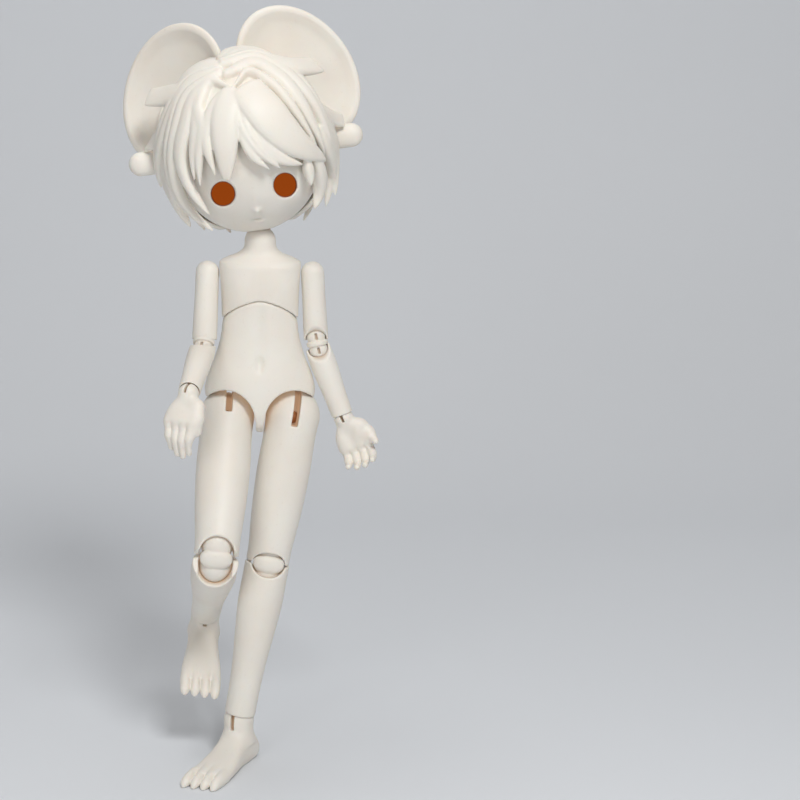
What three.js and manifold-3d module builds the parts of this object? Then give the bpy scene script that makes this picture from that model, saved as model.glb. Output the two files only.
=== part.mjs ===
// A ball jointed resin doll, standing on its left foot with the right leg raised.
// Millimetres, +Z up. The doll faces -Y, and its own left side is +X.
// The origin lies on the flat sole of the standing left foot.

import * as THREE from "three";
import { mergeVertices } from "three/addons/utils/BufferGeometryUtils.js";
import Module from "manifold-3d";

const wasm = await Module();
wasm.setup();

// Clearances and cuts
const gap = 0.3; // between neighbouring pieces
const overrun = 60; // how far a cut runs past the piece
const weld = 0.0001; // vertices closer than this are one

// Facets round and along a piece
const facets = {
  domeAround: 26,
  domeRows: 14,
  skullAround: 22,
  skullRows: 12,
  hollowAround: 12,
  hollowRows: 8,
  hairAround: 14,
  hairRows: 8,
  torsoAround: 18,
  torsoRows: 9,
  limbAround: 14,
  limbRows: 5,
  capRows: 3,
  socketRows: 5,
  ballAround: 16,
  ballRows: 8,
  hipAround: 16,
  hipRows: 10,
  earAround: 18,
  lockAround: 5,
  lockRows: 4,
  runnerAround: 10,
  runnerRows: 5,
  toeAround: 6,
  toeRows: 4,
  fingerAround: 6,
  fingerRows: 4,
  smallAround: 8,
  smallRows: 6,
  wireAround: 4,
  wireRows: 10,
};

// Driving dimensions of the torso; heights are measured from the pelvis mark between the hips
const torso = {
  crotchHeight: -4.8,
  crotchHalfWidth: 1.5,
  hipHalfWidth: 21.6,
  hipHalfDepth: 12.2,
  lowerTopHeight: 49.6,
  waistCentreHeight: 34.5,
  waistRadius: 15.3,
  waistBoreRadius: 2.8,
  chestBottomHeight: 35,
  neckCentreHeight: 69.9,
  neckRadius: 6.1,
  neckCavityRadius: 2.3,
  neckBoreRadius: 1.5,
  navelHeight: 23,
  navelHalfWidth: 1.1,
  navelHalfHeight: 2.6,
};

const hip = {
  side: 12.9, // of each hip centre from the middle
  rise: 0.4, // of each hip centre above the pelvis mark
  ballHalfWidth: 10.7,
  ballRadius: 11.9,
  clearance: 0.45,
  cavityRadius: 2.9,
  slotWidth: 2.5,
  slotRun: 3, // below the hip centre
};

const knee = {
  ballRadius: 6.2,
  pivotSpacing: 9,
  relief: 60, // degrees that the back of each rim is cut away
  reliefInset: 1.2,
  frontArch: 4.6, // height of the arch over the kneecap
  capHalfWidth: 5.6,
  capHalfHeight: 3.1,
  capHalfDepth: 2.4,
  capReach: 7, // of the kneecap in front of the pivots
  waistInset: 0.7,
};

const thighLength = 58.5;

const shin = { length: 65.4, halfWidth: 8.8, halfDepth: 9.2 };

const ankle = {
  radius: 6,
  rimHeight: 2.4, // of the shin's rim above the ankle centre
  hookRadius: 2.2,
  hookWire: 0.6,
  slotWidth: 1.6,
  slotRun: 3,
};

const foot = {
  ankleHeight: 17.4,
  heelReach: 11,
  toeReach: 31.6,
  halfWidth: 8.4,
  instepHeight: 14.2,
  toeHalfWidth: 2.4,
  toeLength: 10,
  toeHeight: 5,
  toeCount: 4,
  squareness: 2.6,
};

const shoulder = {
  side: 20.4,
  height: 57.6,
  ballRadius: 4.6,
  cavityRadius: 1.9,
  slotWidth: 1.3,
};

const elbow = {
  ballRadius: 3.7,
  pivotSpacing: 5.6,
  bandHalf: 1.3, // half the band of the link that shows between the arm pieces
  relief: 52,
  reliefInset: 0.3,
  waistInset: 0.8,
  slotWidth: 1,
  slotDepth: 1.6,
  slotRun: 2.6,
};

const upperArmLength = 27.6;

const forearm = { length: 31.6, halfWidth: 5.1 };

const wrist = {
  radius: 3.9,
  rimHeight: 1.6,
  hookRadius: 1.4,
  hookWire: 0.4,
  slotWidth: 1,
  slotRun: 0.8,
};

const hand = {
  palmLength: 13.5,
  palmHalfWidth: 7,
  fingerRadius: 1.7,
  fingerLength: 13,
  fingerCurl: { left: 105, right: 58 }, // degrees between the palm and the fingertip
  fingerSpacing: 3.2,
  fingerFan: { left: -2, right: 5 }, // degrees that each finger leans in from its neighbour
  thumbLength: 10,
  thumbRadius: 1.9,
  thumbTurn: { left: 24, right: 8 },
};

// The head; places are measured from the middle of the skull
const head = {
  halfWidth: 30,
  halfDepth: 30,
  halfHeight: 33.3,
  wall: 3,
  neckInset: 3.9, // of the neck centre below the chin
  neckHoleRadius: 4.2,
  splitDepth: 5, // the cap meets the face behind this depth
  eyeSide: 11.7,
  eyeDrop: 16.6,
  eyeHalfWidth: 4.7,
  eyeHalfHeight: 4.85,
  noseDrop: 25,
  noseHalfWidth: 1.7,
  noseHalfHeight: 1.2,
  lobeSide: 35.5,
  lobeRise: -1.6,
  lobeHalfLength: 10,
  lobeHalfHeight: 4.6,
  lobeHalfDepth: 3.3,
  hookRadius: 2.4,
  hookWire: 0.7,
  magnetRadius: 0.8,
  magnetThickness: 1.2,
  magnetRise: 40, // degrees above the middle of the skull
};

const mouseEar = {
  halfWidth: 21.5,
  halfHeight: 28.6,
  depth: 6.5,
  side: { left: 23.3, right: 21.6 },
  back: 9,
  rise: { left: 24.6, right: 22.6 },
  lean: 34, // degrees that the ear's top leans inwards
  turn: { left: 12, right: 30 }, // each ear sits loosely, so the two face a little apart
};

const hair = {
  seat: 1.6, // of the hair's inside over the skull, at its corners
  thickness: 3, // of the cap over the skull
  lockHalfWidth: 6.5,
  lockHalfThickness: 2.6,
  browRise: 16, // height of the cap's front edge
  napeDrop: 31,
  templeDepth: 8,
  splitDepth: 9,
};

const beadRadius = { hip: 2.6, shoulder: 1.6, waist: 2.5, neck: 2 };

// The pose that the doll stands in, in degrees: forward swing, side swing towards +X, turn about the limb
const pose = {
  head: { swing: 2, side: 8.6, turn: 2 },
  standingHip: { swing: 7, side: -9.6, turn: 5 },
  standingKnee: { upper: 2, lower: 3 },
  standingFootTurn: -27,
  raisedHip: { swing: 36.7, side: -3.4, turn: 5 },
  raisedKnee: { upper: 42, lower: 51 },
  raisedFoot: { swing: 37.5, side: 0, turn: 0 },
  rightShoulder: { swing: 12, side: -2.4, turn: -10 },
  rightElbow: { upper: { swing: 24 }, lower: { swing: 26 } },
  rightHand: { swing: -34, side: -8, turn: 78 },
  leftShoulder: { swing: 2, side: 3.4 },
  leftElbow: { upper: { swing: 2, side: 8 }, lower: { swing: 2, side: 9 } },
  leftHand: { swing: -5, side: 5, turn: 78 },
  upperArmTurn: { left: 0, right: 180 }, // of the cut for the fold, round the arm from the front
};

const materials = {
  resin: { color: 0xf1ece2, roughness: 0.55, metalness: 0 },
  hair: { color: 0xf3eee4, roughness: 0.6, metalness: 0 },
  bead: { color: 0xc98a52, roughness: 0.7, metalness: 0 },
  wire: { color: 0xb8b8b8, roughness: 0.3, metalness: 1 },
};

const rightAngle = 90; // degrees
const leftSide = 1;
const rightSide = -1;
const sideName = (side) => (side === leftSide ? "left" : "right");
const radians = (degrees) => THREE.MathUtils.degToRad(degrees);

// A bead that the stringing runs over, at the centre of a ball joint
const bead = (radius, height = 0) => ball(radius, 0, 0, height, facets.smallAround, facets.smallRows);

// A three.js geometry as a solid that can be joined and cut, with its faces pointing out
function solid(geometry) {
  const bare = geometry.clone();
  bare.deleteAttribute("normal");
  bare.deleteAttribute("uv");
  const merged = mergeVertices(bare, weld);
  const points = merged.getAttribute("position").array;
  const corners = merged.getIndex().array;
  const faces = [];
  let volume = 0;
  const a = new THREE.Vector3();
  const b = new THREE.Vector3();
  const c = new THREE.Vector3();
  for (let first = 0; first < corners.length; first += 3) {
    const [i, j, k] = corners.slice(first, first + 3);
    if (i !== j && j !== k && k !== i) {
      faces.push([i, j, k]);
      a.fromArray(points, 3 * i);
      b.fromArray(points, 3 * j);
      c.fromArray(points, 3 * k);
      volume += a.dot(b.cross(c));
    }
  }
  const outward = volume > 0 ? faces : faces.map(([i, j, k]) => [i, k, j]);
  return new wasm.Manifold(new wasm.Mesh({
    numProp: 3,
    vertProperties: new Float32Array(points),
    triVerts: new Uint32Array(outward.flat()),
  }));
}

const join = (solids) => solids.reduce((whole, piece) => whole.add(piece));
const cut = (whole, cutters) => cutters.reduce((left, cutter) => left.subtract(cutter), whole);

// The largest connected body of a solid, without the crumbs that a cut can leave
function largest(whole) {
  return whole.decompose().sort((a, b) => b.volume() - a.volume())[0];
}

function ball(radius, x, y, z, around = facets.ballAround, rows = facets.ballRows) {
  return solid(new THREE.SphereGeometry(radius, around, rows).translate(x, y, z));
}

function egg(halfX, halfY, halfZ, x, y, z, around = facets.ballAround, rows = facets.ballRows) {
  const shape = new THREE.SphereGeometry(1, around, rows).rotateX(Math.PI / 2);
  return solid(shape.scale(halfX, halfY, halfZ).translate(x, y, z));
}

// A box given by its middle and its sizes
function block(width, depth, height, x, y, z) {
  return solid(new THREE.BoxGeometry(width, depth, height).translate(x, y, z));
}

// A round bar that runs up from a height
function post(radius, x, y, bottom, top, around = facets.smallAround) {
  const shape = new THREE.CylinderGeometry(radius, radius, top - bottom, around);
  return solid(shape.rotateX(Math.PI / 2).translate(x, y, (top + bottom) / 2));
}

// A closed body from a revolved unit outline: place(t, u, v) gives the real place of each point,
// t runs from end to end, and u and v go round the unit circle
function swept(rows, around, place) {
  const outline = [new THREE.Vector2(0, 0)];
  for (let row = 0; row <= rows; row += 1) {
    outline.push(new THREE.Vector2(1, row / rows));
  }
  outline.push(new THREE.Vector2(0, 1));
  const geometry = new THREE.LatheGeometry(outline, around);
  const points = geometry.getAttribute("position");
  for (let index = 0; index < points.count; index += 1) {
    const placed = place(points.getY(index), points.getX(index), points.getZ(index));
    points.setXYZ(index, placed.x, placed.y, placed.z);
  }
  return geometry;
}

// The point of a unit superellipse in the direction of u and v
function rounded(u, v, squareness) {
  const reach = (Math.abs(u) ** squareness + Math.abs(v) ** squareness) ** (1 / squareness);
  return reach > 0 ? { u: u / reach, v: v / reach } : { u: 0, v: 0 };
}

// A loft between two heights. Each row of shares: the way along, half width, half depth, and where they
// aren't 0 and 2, front shift and squareness. A dome of the same radii can round off the start
function loft(from, to, halfWidth, halfDepth, shares, { rows, around, dome = 0 } = {}) {
  const sizes = shares.map(([along, width, depth]) => new THREE.Vector3(width, depth, along));
  const forms = shares.map(([, , , front = 0, square = 2]) => new THREE.Vector3(front, square, 0));
  const sizeCurve = new THREE.CatmullRomCurve3(sizes);
  const formCurve = new THREE.CatmullRomCurve3(forms);
  const shaftRows = rows ?? facets.limbRows;
  const domeRows = dome > 0 ? facets.capRows : 0;
  const domeShare = domeRows / (shaftRows + domeRows);
  return solid(swept(shaftRows + domeRows, around ?? facets.limbAround, (t, u, v) => {
    const onDome = t < domeShare;
    const angle = onDome ? (Math.PI / 2) * (t / domeShare) : Math.PI / 2;
    const way = onDome ? 0 : Math.min(1, (t - domeShare) / (1 - domeShare));
    const size = sizeCurve.getPoint(way);
    const form = formCurve.getPoint(way);
    const edge = rounded(u, v, form.y);
    return new THREE.Vector3(
      edge.u * size.x * halfWidth * Math.sin(angle),
      edge.v * size.y * halfDepth * Math.sin(angle) - form.x * halfDepth,
      from + Math.sign(from - to) * dome * Math.cos(angle) + size.z * (to - from),
    );
  }));
}

// A revolved body; each point of the outline is a radius and a height
function revolved(outline, around) {
  const shape = new THREE.LatheGeometry(outline.map(([r, z]) => new THREE.Vector2(r, z)), around);
  return solid(shape.rotateX(Math.PI / 2));
}

// Points of an arc round a centre on the axis, from one angle to another, in degrees above the level
function arc(radius, centre, from, to, steps) {
  return Array.from({ length: steps + 1 }, (_, step) => {
    const angle = radians(from + ((to - from) * step) / steps);
    return [Math.max(0, radius * Math.cos(angle)), centre + radius * Math.sin(angle)];
  });
}

// A round-ended socket for a ball, open downwards or upwards
function socket(radius, centre, way) {
  const open = centre + way * overrun;
  const dome = arc(radius, centre, -way * rightAngle, 0, facets.socketRows);
  return revolved([...dome, [radius, open], [0, open]], facets.ballAround);
}

// Two balls in one piece, round the middle between them
function twinBall(radius, half, waistRadius) {
  const steps = facets.capRows;
  const neckAngle = THREE.MathUtils.radToDeg(Math.acos(waistRadius / radius));
  return revolved([
    ...arc(radius, -half, -rightAngle, neckAngle, steps),
    ...arc(radius, half, -neckAngle, rightAngle, steps),
  ], facets.ballAround);
}

// A wedge that clears everything behind and above a line across the limb, for a hinge to fold
function foldRelief(inset, height, relief, upward) {
  const shape = new THREE.BoxGeometry(overrun, overrun, overrun).translate(0, overrun / 2, overrun / 2);
  // The wedge between the flat rim and the relief angle is a box turned back by what is left of it
  const wedge = shape.rotateX(radians(relief) - Math.PI / 2);
  const placed = upward ? wedge : wedge.scale(1, 1, -1);
  return solid(placed.translate(0, inset, height));
}

const bodyRows = { rows: facets.torsoRows, around: facets.torsoAround };

// Lower torso: hips, belly and the dome that the chest rides on
const lowerTorsoShares = [
  [0, 0.1, 0.4, 0, 2.3],
  [0.03, 0.2, 0.66, 0, 2.3],
  [0.12, 0.6, 0.94, 0, 2.3],
  [0.2, 0.92, 0.99, 0, 2.3],
  [0.29, 1, 1, 0, 2.3],
  [0.4, 0.955, 0.96, 0, 2.3],
  [0.54, 0.82, 0.86, 0, 2.3],
  [0.68, 0.715, 0.78, 0, 2.3],
  [0.8, 0.695, 0.75, 0, 2.3],
  [1, 0.71, 0.77, 0, 2.3],
];

function hipBall(side, grow) {
  return egg(
    hip.ballHalfWidth + grow,
    hip.ballRadius + grow,
    hip.ballRadius + grow,
    side * hip.side,
    0,
    hip.rise,
    facets.hipAround,
    facets.hipRows,
  );
}

// The leg opening, seen from the front, follows the outline of the hip ball, and leaves a narrow crotch
function legOpening(side) {
  const shape = new THREE.CylinderGeometry(1, 1, overrun, facets.hipAround);
  shape.scale(hip.ballHalfWidth + gap, 1, hip.ballRadius + gap);
  const round = solid(shape.translate(side * hip.side, 0, hip.rise));
  const middle = side * (torso.crotchHalfWidth + overrun / 2);
  return round.add(block(overrun, overrun, overrun, middle, 0, hip.rise - overrun / 2));
}

function lowerTorso() {
  const whole = loft(
    torso.crotchHeight,
    torso.lowerTopHeight,
    torso.hipHalfWidth,
    torso.hipHalfDepth,
    lowerTorsoShares,
    bodyRows,
  );
  const waist = torso.waistCentreHeight;
  const dome = ball(torso.waistRadius, 0, 0, waist, facets.domeAround, facets.domeRows);
  const below = block(2 * overrun, 2 * overrun, overrun, 0, 0, waist - overrun / 2);
  const navelDepth = torso.navelHalfWidth - torso.hipHalfDepth;
  return largest(cut(whole.intersect(join([dome, below])), [
    hipBall(leftSide, hip.clearance),
    hipBall(rightSide, hip.clearance),
    legOpening(leftSide),
    legOpening(rightSide),
    socket(torso.waistBoreRadius, waist, 1),
    egg(
      torso.navelHalfWidth,
      torso.navelHalfWidth,
      torso.navelHalfHeight,
      0,
      navelDepth,
      torso.navelHeight,
      facets.smallAround,
      facets.smallRows,
    ),
  ]));
}

// Chest: hollow under, to sit on the dome, with the neck above and a dimple for each arm
const chestShares = [
  [0, 1, 1],
  [0.054, 1.02, 1],
  [0.097, 1.18, 1],
  [0.126, 1.42, 1.02, 0, 2.1],
  [0.18, 2.18, 1.12, 0, 2.2],
  [0.223, 2.57, 1.25, 0, 2.3],
  [0.27, 2.6, 1.4, 0, 2.3],
  [0.4, 2.54, 1.55, 0, 2.4],
  [0.58, 2.48, 1.58, 0, 2.4],
  [0.8, 2.45, 1.5, 0, 2.4],
  [1, 2.43, 1.46, 0, 2.4],
];

function chest() {
  const whole = loft(
    torso.neckCentreHeight,
    torso.chestBottomHeight,
    torso.neckRadius,
    torso.neckRadius,
    chestShares,
    { ...bodyRows, dome: torso.neckRadius },
  );
  const under = ball(
    torso.waistRadius + gap,
    0,
    0,
    torso.waistCentreHeight,
    facets.domeAround,
    facets.domeRows,
  );
  const dimples = [leftSide, rightSide].map((side) => (
    ball(shoulder.ballRadius + gap, side * shoulder.side, 0, shoulder.height)
  ));
  const cavity = bead(torso.neckCavityRadius, torso.neckCentreHeight);
  const neckTop = torso.neckCentreHeight + overrun;
  const bore = post(torso.neckBoreRadius, 0, 0, torso.neckCentreHeight, neckTop);
  return largest(cut(whole, [under, ...dimples, cavity, bore]));
}

// Thigh, measured from the hip centre down to the middle of the knee
const thighShares = [
  [0, 1, 1],
  [0.06, 0.97, 0.99],
  [0.13, 0.96, 0.97],
  [0.36, 0.98, 0.9, 0.01],
  [0.56, 0.95, 0.82, 0.02],
  [0.75, 0.88, 0.74, 0.02],
  [0.9, 0.81, 0.69, 0.01],
  [1, 0.8, 0.68],
];

function thighPiece() {
  const shaft = loft(
    0,
    -thighLength,
    hip.ballHalfWidth,
    hip.ballRadius,
    thighShares,
    { dome: hip.ballRadius, around: facets.hipAround },
  );
  const slotHeight = hip.slotRun + hip.ballRadius;
  const slotMiddle = slotHeight / 2 - hip.slotRun;
  const slot = block(hip.slotWidth, hip.ballRadius, slotHeight, 0, -hip.ballRadius / 2, slotMiddle);
  const slotBack = block(hip.slotWidth, hip.cavityRadius, hip.ballRadius, 0, 0, hip.ballRadius / 2);
  return largest(cut(shaft, [
    socket(knee.ballRadius + gap, knee.pivotSpacing / 2 - thighLength, -1),
    kneeArch(-thighLength),
    foldRelief(knee.reliefInset, -thighLength, knee.relief, true),
    bead(hip.cavityRadius),
    slot,
    slotBack,
  ]));
}

// The arch round the kneecap, cut into a rim from the front
function kneeArch(rim) {
  const shape = new THREE.CylinderGeometry(1, 1, overrun, facets.ballAround);
  shape.scale(knee.ballRadius + gap, 1, knee.frontArch);
  return solid(shape.translate(0, -overrun / 2, rim));
}

// Two balls in one piece, which turn in the thigh and in the shin, with a kneecap in front
function kneeLink() {
  const half = knee.pivotSpacing / 2;
  const cap = egg(
    knee.capHalfWidth,
    knee.capHalfDepth,
    knee.capHalfHeight,
    0,
    knee.capHalfDepth - knee.capReach,
    0,
  );
  return join([twinBall(knee.ballRadius, half, knee.ballRadius - knee.waistInset), cap]);
}

// Shin, measured from the middle of the knee down to the ankle centre
const shinShares = [
  [0, 1, 0.92, 0],
  [0.1, 1, 0.97, -0.03],
  [0.27, 1, 1, -0.08],
  [0.45, 0.9, 0.9, -0.06],
  [0.65, 0.77, 0.76, -0.03],
  [0.82, 0.71, 0.7, 0],
  [1, 0.695, 0.68, 0],
];

function shinPiece() {
  const end = ankle.rimHeight - shin.length;
  const shaft = loft(-gap, end, shin.halfWidth, shin.halfDepth, shinShares);
  return largest(cut(shaft, [
    socket(knee.ballRadius + gap, -knee.pivotSpacing / 2, 1),
    kneeArch(0),
    foldRelief(knee.reliefInset, 0, knee.relief, false),
    ball(ankle.radius + gap, 0, 0, -shin.length),
  ]));
}

// Foot, measured from the ankle centre, with the toes towards -Y
const footShares = [
  [0, 0.42, 0.34],
  [0.1, 0.66, 0.62],
  [0.26, 0.74, 0.9],
  [0.42, 0.74, 0.86],
  [0.6, 0.84, 0.6],
  [0.8, 0.98, 0.42],
  [1, 0.96, 0.34],
];

// The neck of the foot, from the ankle centre half way to the floor
const ankleShares = [
  [0, 1, 1, 0],
  [0.4, 0.98, 1.02, 0.02],
  [0.75, 1, 1.15, 0.06],
  [1, 1.05, 1.25, 0.1],
];

const toeShares = [
  [0, 0.8, 0.9],
  [0.35, 0.95, 1],
  [0.62, 0.9, 0.86],
  [0.8, 0.6, 0.56],
  [1, 0.12, 0.16],
];

// A body that runs forwards over the floor, from y = from to y = to, with a flat underside
function runner(from, to, halfWidth, height, floor, shares, squareness, across, around, rows) {
  const curve = new THREE.CatmullRomCurve3(
    shares.map(([along, width, tall]) => new THREE.Vector3(along, width, tall)),
  );
  const sunkShare = 0.12; // of the height, below the floor, for the flat cut
  return solid(swept(rows, around, (t, u, v) => {
    const size = curve.getPoint(t);
    const edge = rounded(u, v, squareness);
    const tall = size.z * height;
    const middle = floor + tall * (1 - sunkShare) / 2;
    return new THREE.Vector3(
      across + edge.u * size.y * halfWidth,
      from + size.x * (to - from),
      middle + (edge.v * tall * (1 + sunkShare)) / 2,
    );
  }));
}

function footPiece(side) {
  const floor = -foot.ankleHeight;
  const toeBase = foot.toeLength / 2 - foot.toeReach;
  const pieces = [
    runner(
      foot.heelReach,
      toeBase,
      foot.halfWidth,
      foot.instepHeight,
      floor,
      footShares,
      foot.squareness,
      0,
      facets.runnerAround,
      facets.runnerRows,
    ),
    loft(
      0,
      floor / 2,
      ankle.radius,
      ankle.radius,
      ankleShares,
      { rows: facets.capRows, dome: ankle.radius },
    ),
  ];
  // Toes lie side by side, the inner one longest
  const spacing = (2 * (foot.halfWidth - foot.toeHalfWidth)) / (foot.toeCount - 1);
  const shrinkShare = 0.07;
  for (let toe = 0; toe < foot.toeCount; toe += 1) {
    const across = side * (toe * spacing - (foot.halfWidth - foot.toeHalfWidth));
    const length = foot.toeLength * (1 - shrinkShare * toe);
    pieces.push(runner(
      toeBase + foot.toeLength / 2,
      toeBase - length,
      foot.toeHalfWidth,
      foot.toeHeight,
      floor,
      toeShares,
      2,
      across,
      facets.toeAround,
      facets.toeRows,
    ));
  }
  const under = block(overrun, overrun, overrun, 0, 0, floor - overrun / 2);
  return largest(cut(join(pieces), [under, ...hookSlots(ankle, [0])]));
}

// The slot in the ball of a foot or hand, where its hook lies; turns are the sides that it opens to,
// in degrees from the front
function hookSlots(joint, turns) {
  const reach = joint.hookRadius + joint.hookWire + gap;
  return turns.flatMap((turn) => {
    const round = new THREE.CylinderGeometry(reach, reach, joint.slotWidth, facets.wireRows);
    const front = new THREE.BoxGeometry(
      joint.slotWidth,
      joint.radius + gap,
      joint.radius + joint.slotRun,
    );
    front.translate(0, -(joint.radius + gap) / 2, (joint.radius - joint.slotRun) / 2);
    return [round.rotateZ(Math.PI / 2), front].map((shape) => solid(shape.rotateZ(radians(turn))));
  });
}

// A ring of wire that the stringing pulls on, lying in the slot of its ball
function hookRing(joint, turn) {
  const shape = new THREE.TorusGeometry(
    joint.hookRadius,
    joint.hookWire,
    facets.wireAround,
    facets.wireRows,
  );
  return solid(shape.rotateY(Math.PI / 2).rotateZ(radians(turn)));
}

// Upper arm, measured from the shoulder centre down to the middle of the elbow
const upperArmShares = [
  [0, 1, 1],
  [0.3, 0.99, 1],
  [0.7, 1.03, 1.04],
  [1, 1.045, 1.05],
];

function upperArmPiece(side, label) {
  const radius = shoulder.ballRadius;
  const end = elbow.bandHalf - upperArmLength;
  const shaft = loft(0, end, radius, radius, upperArmShares, { dome: radius });
  const slotTall = radius + shoulder.cavityRadius;
  const slotMiddle = slotTall / 2 - shoulder.cavityRadius;
  return largest(cut(shaft, [
    socket(elbow.ballRadius + gap, elbow.pivotSpacing / 2 - upperArmLength, -1),
    frontRelief(elbow.reliefInset, end, elbow.relief, true, pose.upperArmTurn[label]),
    bead(shoulder.cavityRadius),
    block(radius, shoulder.slotWidth, slotTall, (-side * radius) / 2, 0, slotMiddle),
  ]));
}

// The elbow folds forwards, so its relief faces the front, or has a turn round the arm, in degrees
function frontRelief(inset, height, relief, upward, turn = 0) {
  const shape = new THREE.BoxGeometry(overrun, overrun, overrun).translate(0, -overrun / 2, overrun / 2);
  const wedge = shape.rotateX(Math.PI / 2 - radians(relief));
  const placed = upward ? wedge : wedge.scale(1, 1, -1);
  return solid(placed.translate(0, -inset, height).rotateZ(radians(turn)));
}

// Two small balls in one piece between the arm pieces, slotted for the stringing
function elbowLink() {
  const half = elbow.pivotSpacing / 2;
  const slot = (height) => block(
    elbow.slotWidth,
    elbow.slotDepth,
    elbow.slotRun,
    0,
    elbow.slotDepth / 2 - elbow.ballRadius,
    height,
  );
  const balls = twinBall(elbow.ballRadius, half, elbow.ballRadius - elbow.waistInset);
  return cut(balls, [slot(half), slot(-half)]);
}

// Forearm, measured from the middle of the elbow down to the wrist centre
const forearmShares = [
  [0, 0.94, 0.94, 0],
  [0.15, 1, 1, 0],
  [0.4, 0.98, 0.97, 0],
  [0.7, 0.88, 0.87, 0],
  [1, 0.82, 0.82, 0],
];

function forearmPiece() {
  const end = wrist.rimHeight - forearm.length;
  const shaft = loft(-elbow.bandHalf, end, forearm.halfWidth, forearm.halfWidth, forearmShares);
  return largest(cut(shaft, [
    socket(elbow.ballRadius + gap, -elbow.pivotSpacing / 2, 1),
    frontRelief(elbow.reliefInset, -elbow.bandHalf, elbow.relief, false),
    ball(wrist.radius + gap, 0, 0, -forearm.length),
  ]));
}

// Hand, measured from the wrist centre; the thumb points to -Y and the palm faces the body
const palmShares = [
  [0, 1, 1],
  [0.15, 0.82, 1.02],
  [0.35, 0.66, 1.42, 0, 2.3],
  [0.6, 0.72, 1.76, 0, 2.4],
  [0.85, 0.74, 1.78, 0, 2.4],
  [1, 0.64, 1.62, 0, 2.4],
];

// One finger: a tapering bar that starts straight and curls towards the palm
function finger(length, radius, curl, side) {
  const bend = radians(curl);
  const reach = length / bend;
  const tipShare = 0.38; // of the radius, at the claw's end
  return swept(facets.fingerRows, facets.fingerAround, (t, u, v) => {
    const angle = bend * t;
    const thick = radius * (1 - (1 - tipShare) * t ** 3);
    return new THREE.Vector3(
      u * thick * Math.cos(angle) - side * reach * (1 - Math.cos(angle)),
      v * thick,
      -reach * Math.sin(angle) - side * u * thick * Math.sin(angle),
    );
  });
}

// Four fingers in a row and a thumb, sunk into the palm by one finger radius
function fingers(side, label) {
  const curl = hand.fingerCurl[label];
  const made = [];
  fingerLengthShares.forEach((share, place) => {
    const fromMiddle = place - (fingerLengthShares.length - 1) / 2;
    const shape = finger(hand.fingerLength * share, hand.fingerRadius, curl, side);
    shape.rotateX(radians(-hand.fingerFan[label] * fromMiddle));
    const across = fromMiddle * hand.fingerSpacing;
    made.push(solid(shape.translate(0, across, hand.fingerRadius - hand.palmLength)));
  });
  const thumb = finger(hand.thumbLength, hand.thumbRadius, curl / 2, side);
  thumb.rotateX(radians(-hand.thumbTurn[label]));
  thumb.translate(0, hand.thumbRadius - hand.palmHalfWidth, -hand.palmLength / 3);
  made.push(solid(thumb));
  return made;
}

const fingerLengthShares = [0.9, 1, 0.96, 0.78];

function handPiece(side, label) {
  const palm = loft(
    0,
    -hand.palmLength,
    wrist.radius,
    wrist.radius,
    palmShares,
    { dome: wrist.radius, around: facets.ballAround },
  );
  return largest(cut(join([palm, ...fingers(side, label)]), hookSlots(wrist, wristSlotTurns)));
}

const wristSlotTurns = [rightAngle, -rightAngle];

// The skull's surface in a direction, in degrees: turn from the front towards +X, rise above the middle.
// A lift of 1 lies on the surface
function skullPoint(turn, rise, lift) {
  const flat = Math.cos(radians(rise));
  return new THREE.Vector3(
    head.halfWidth * flat * Math.sin(radians(turn)),
    -head.halfDepth * flat * Math.cos(radians(turn)),
    head.halfHeight * Math.sin(radians(rise)),
  ).multiplyScalar(lift);
}

function skull(grow, around = facets.skullAround, rows = facets.skullRows) {
  return egg(
    head.halfWidth + grow,
    head.halfDepth + grow,
    head.halfHeight + grow,
    0,
    0,
    0,
    around,
    rows,
  );
}

// The hollow inside the head
const headHollow = () => skull(-head.wall, facets.hollowAround, facets.hollowRows);

// Everything in front of a depth, or behind it
function frontOf(depth) {
  return block(2 * overrun, 2 * overrun, 2 * overrun, 0, depth - overrun, 0);
}

function behind(depth) {
  return block(2 * overrun, 2 * overrun, 2 * overrun, 0, depth + overrun, 0);
}

// The round-ended lobe on each side of the face
function lobe(side, grow) {
  const radius = head.lobeHalfHeight + grow;
  const straight = 2 * (head.lobeHalfLength - head.lobeHalfHeight);
  const shape = new THREE.CapsuleGeometry(radius, straight, facets.capRows, facets.smallAround);
  shape.rotateZ(Math.PI / 2).scale(1, (head.lobeHalfDepth + grow) / radius, 1);
  return solid(shape.translate(side * head.lobeSide, 0, head.lobeRise));
}

// An open hole for an eye, through the wall
function eyeHole(side) {
  const shape = new THREE.CylinderGeometry(1, 1, head.halfDepth, facets.earAround);
  shape.scale(head.eyeHalfWidth, 1, head.eyeHalfHeight);
  return solid(shape.translate(side * head.eyeSide, -head.halfDepth, -head.eyeDrop));
}

// Pockets for the magnets that hold the cap to the face
function magnetPlace(side) {
  const middle = 1 - head.wall / (head.halfWidth + head.halfHeight);
  const place = skullPoint(side * rightAngle, head.magnetRise, middle);
  return { x: place.x, z: place.z };
}

function magnetDisc(side, depth, grow) {
  const thickness = head.magnetThickness + 2 * grow;
  const radius = head.magnetRadius + grow;
  const shape = new THREE.CylinderGeometry(radius, radius, thickness, facets.smallAround);
  const place = magnetPlace(side);
  return solid(shape.translate(place.x, depth, place.z));
}

// The face's magnets lie in front of the split and the cap's behind it, each flush with its rim
const faceMagnetDepth = head.splitDepth - head.magnetThickness / 2;
const capMagnetDepth = head.splitDepth + gap + head.magnetThickness / 2;

// What is hollow inside the head: the shell's inside, the neck hole and the cup that turns on the neck
function headHollows() {
  const chin = -head.halfHeight;
  return [
    headHollow(),
    post(head.neckHoleRadius, 0, 0, chin - overrun, 0, facets.ballAround),
    ball(torso.neckRadius + gap, 0, 0, chin - head.neckInset),
  ];
}

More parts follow.
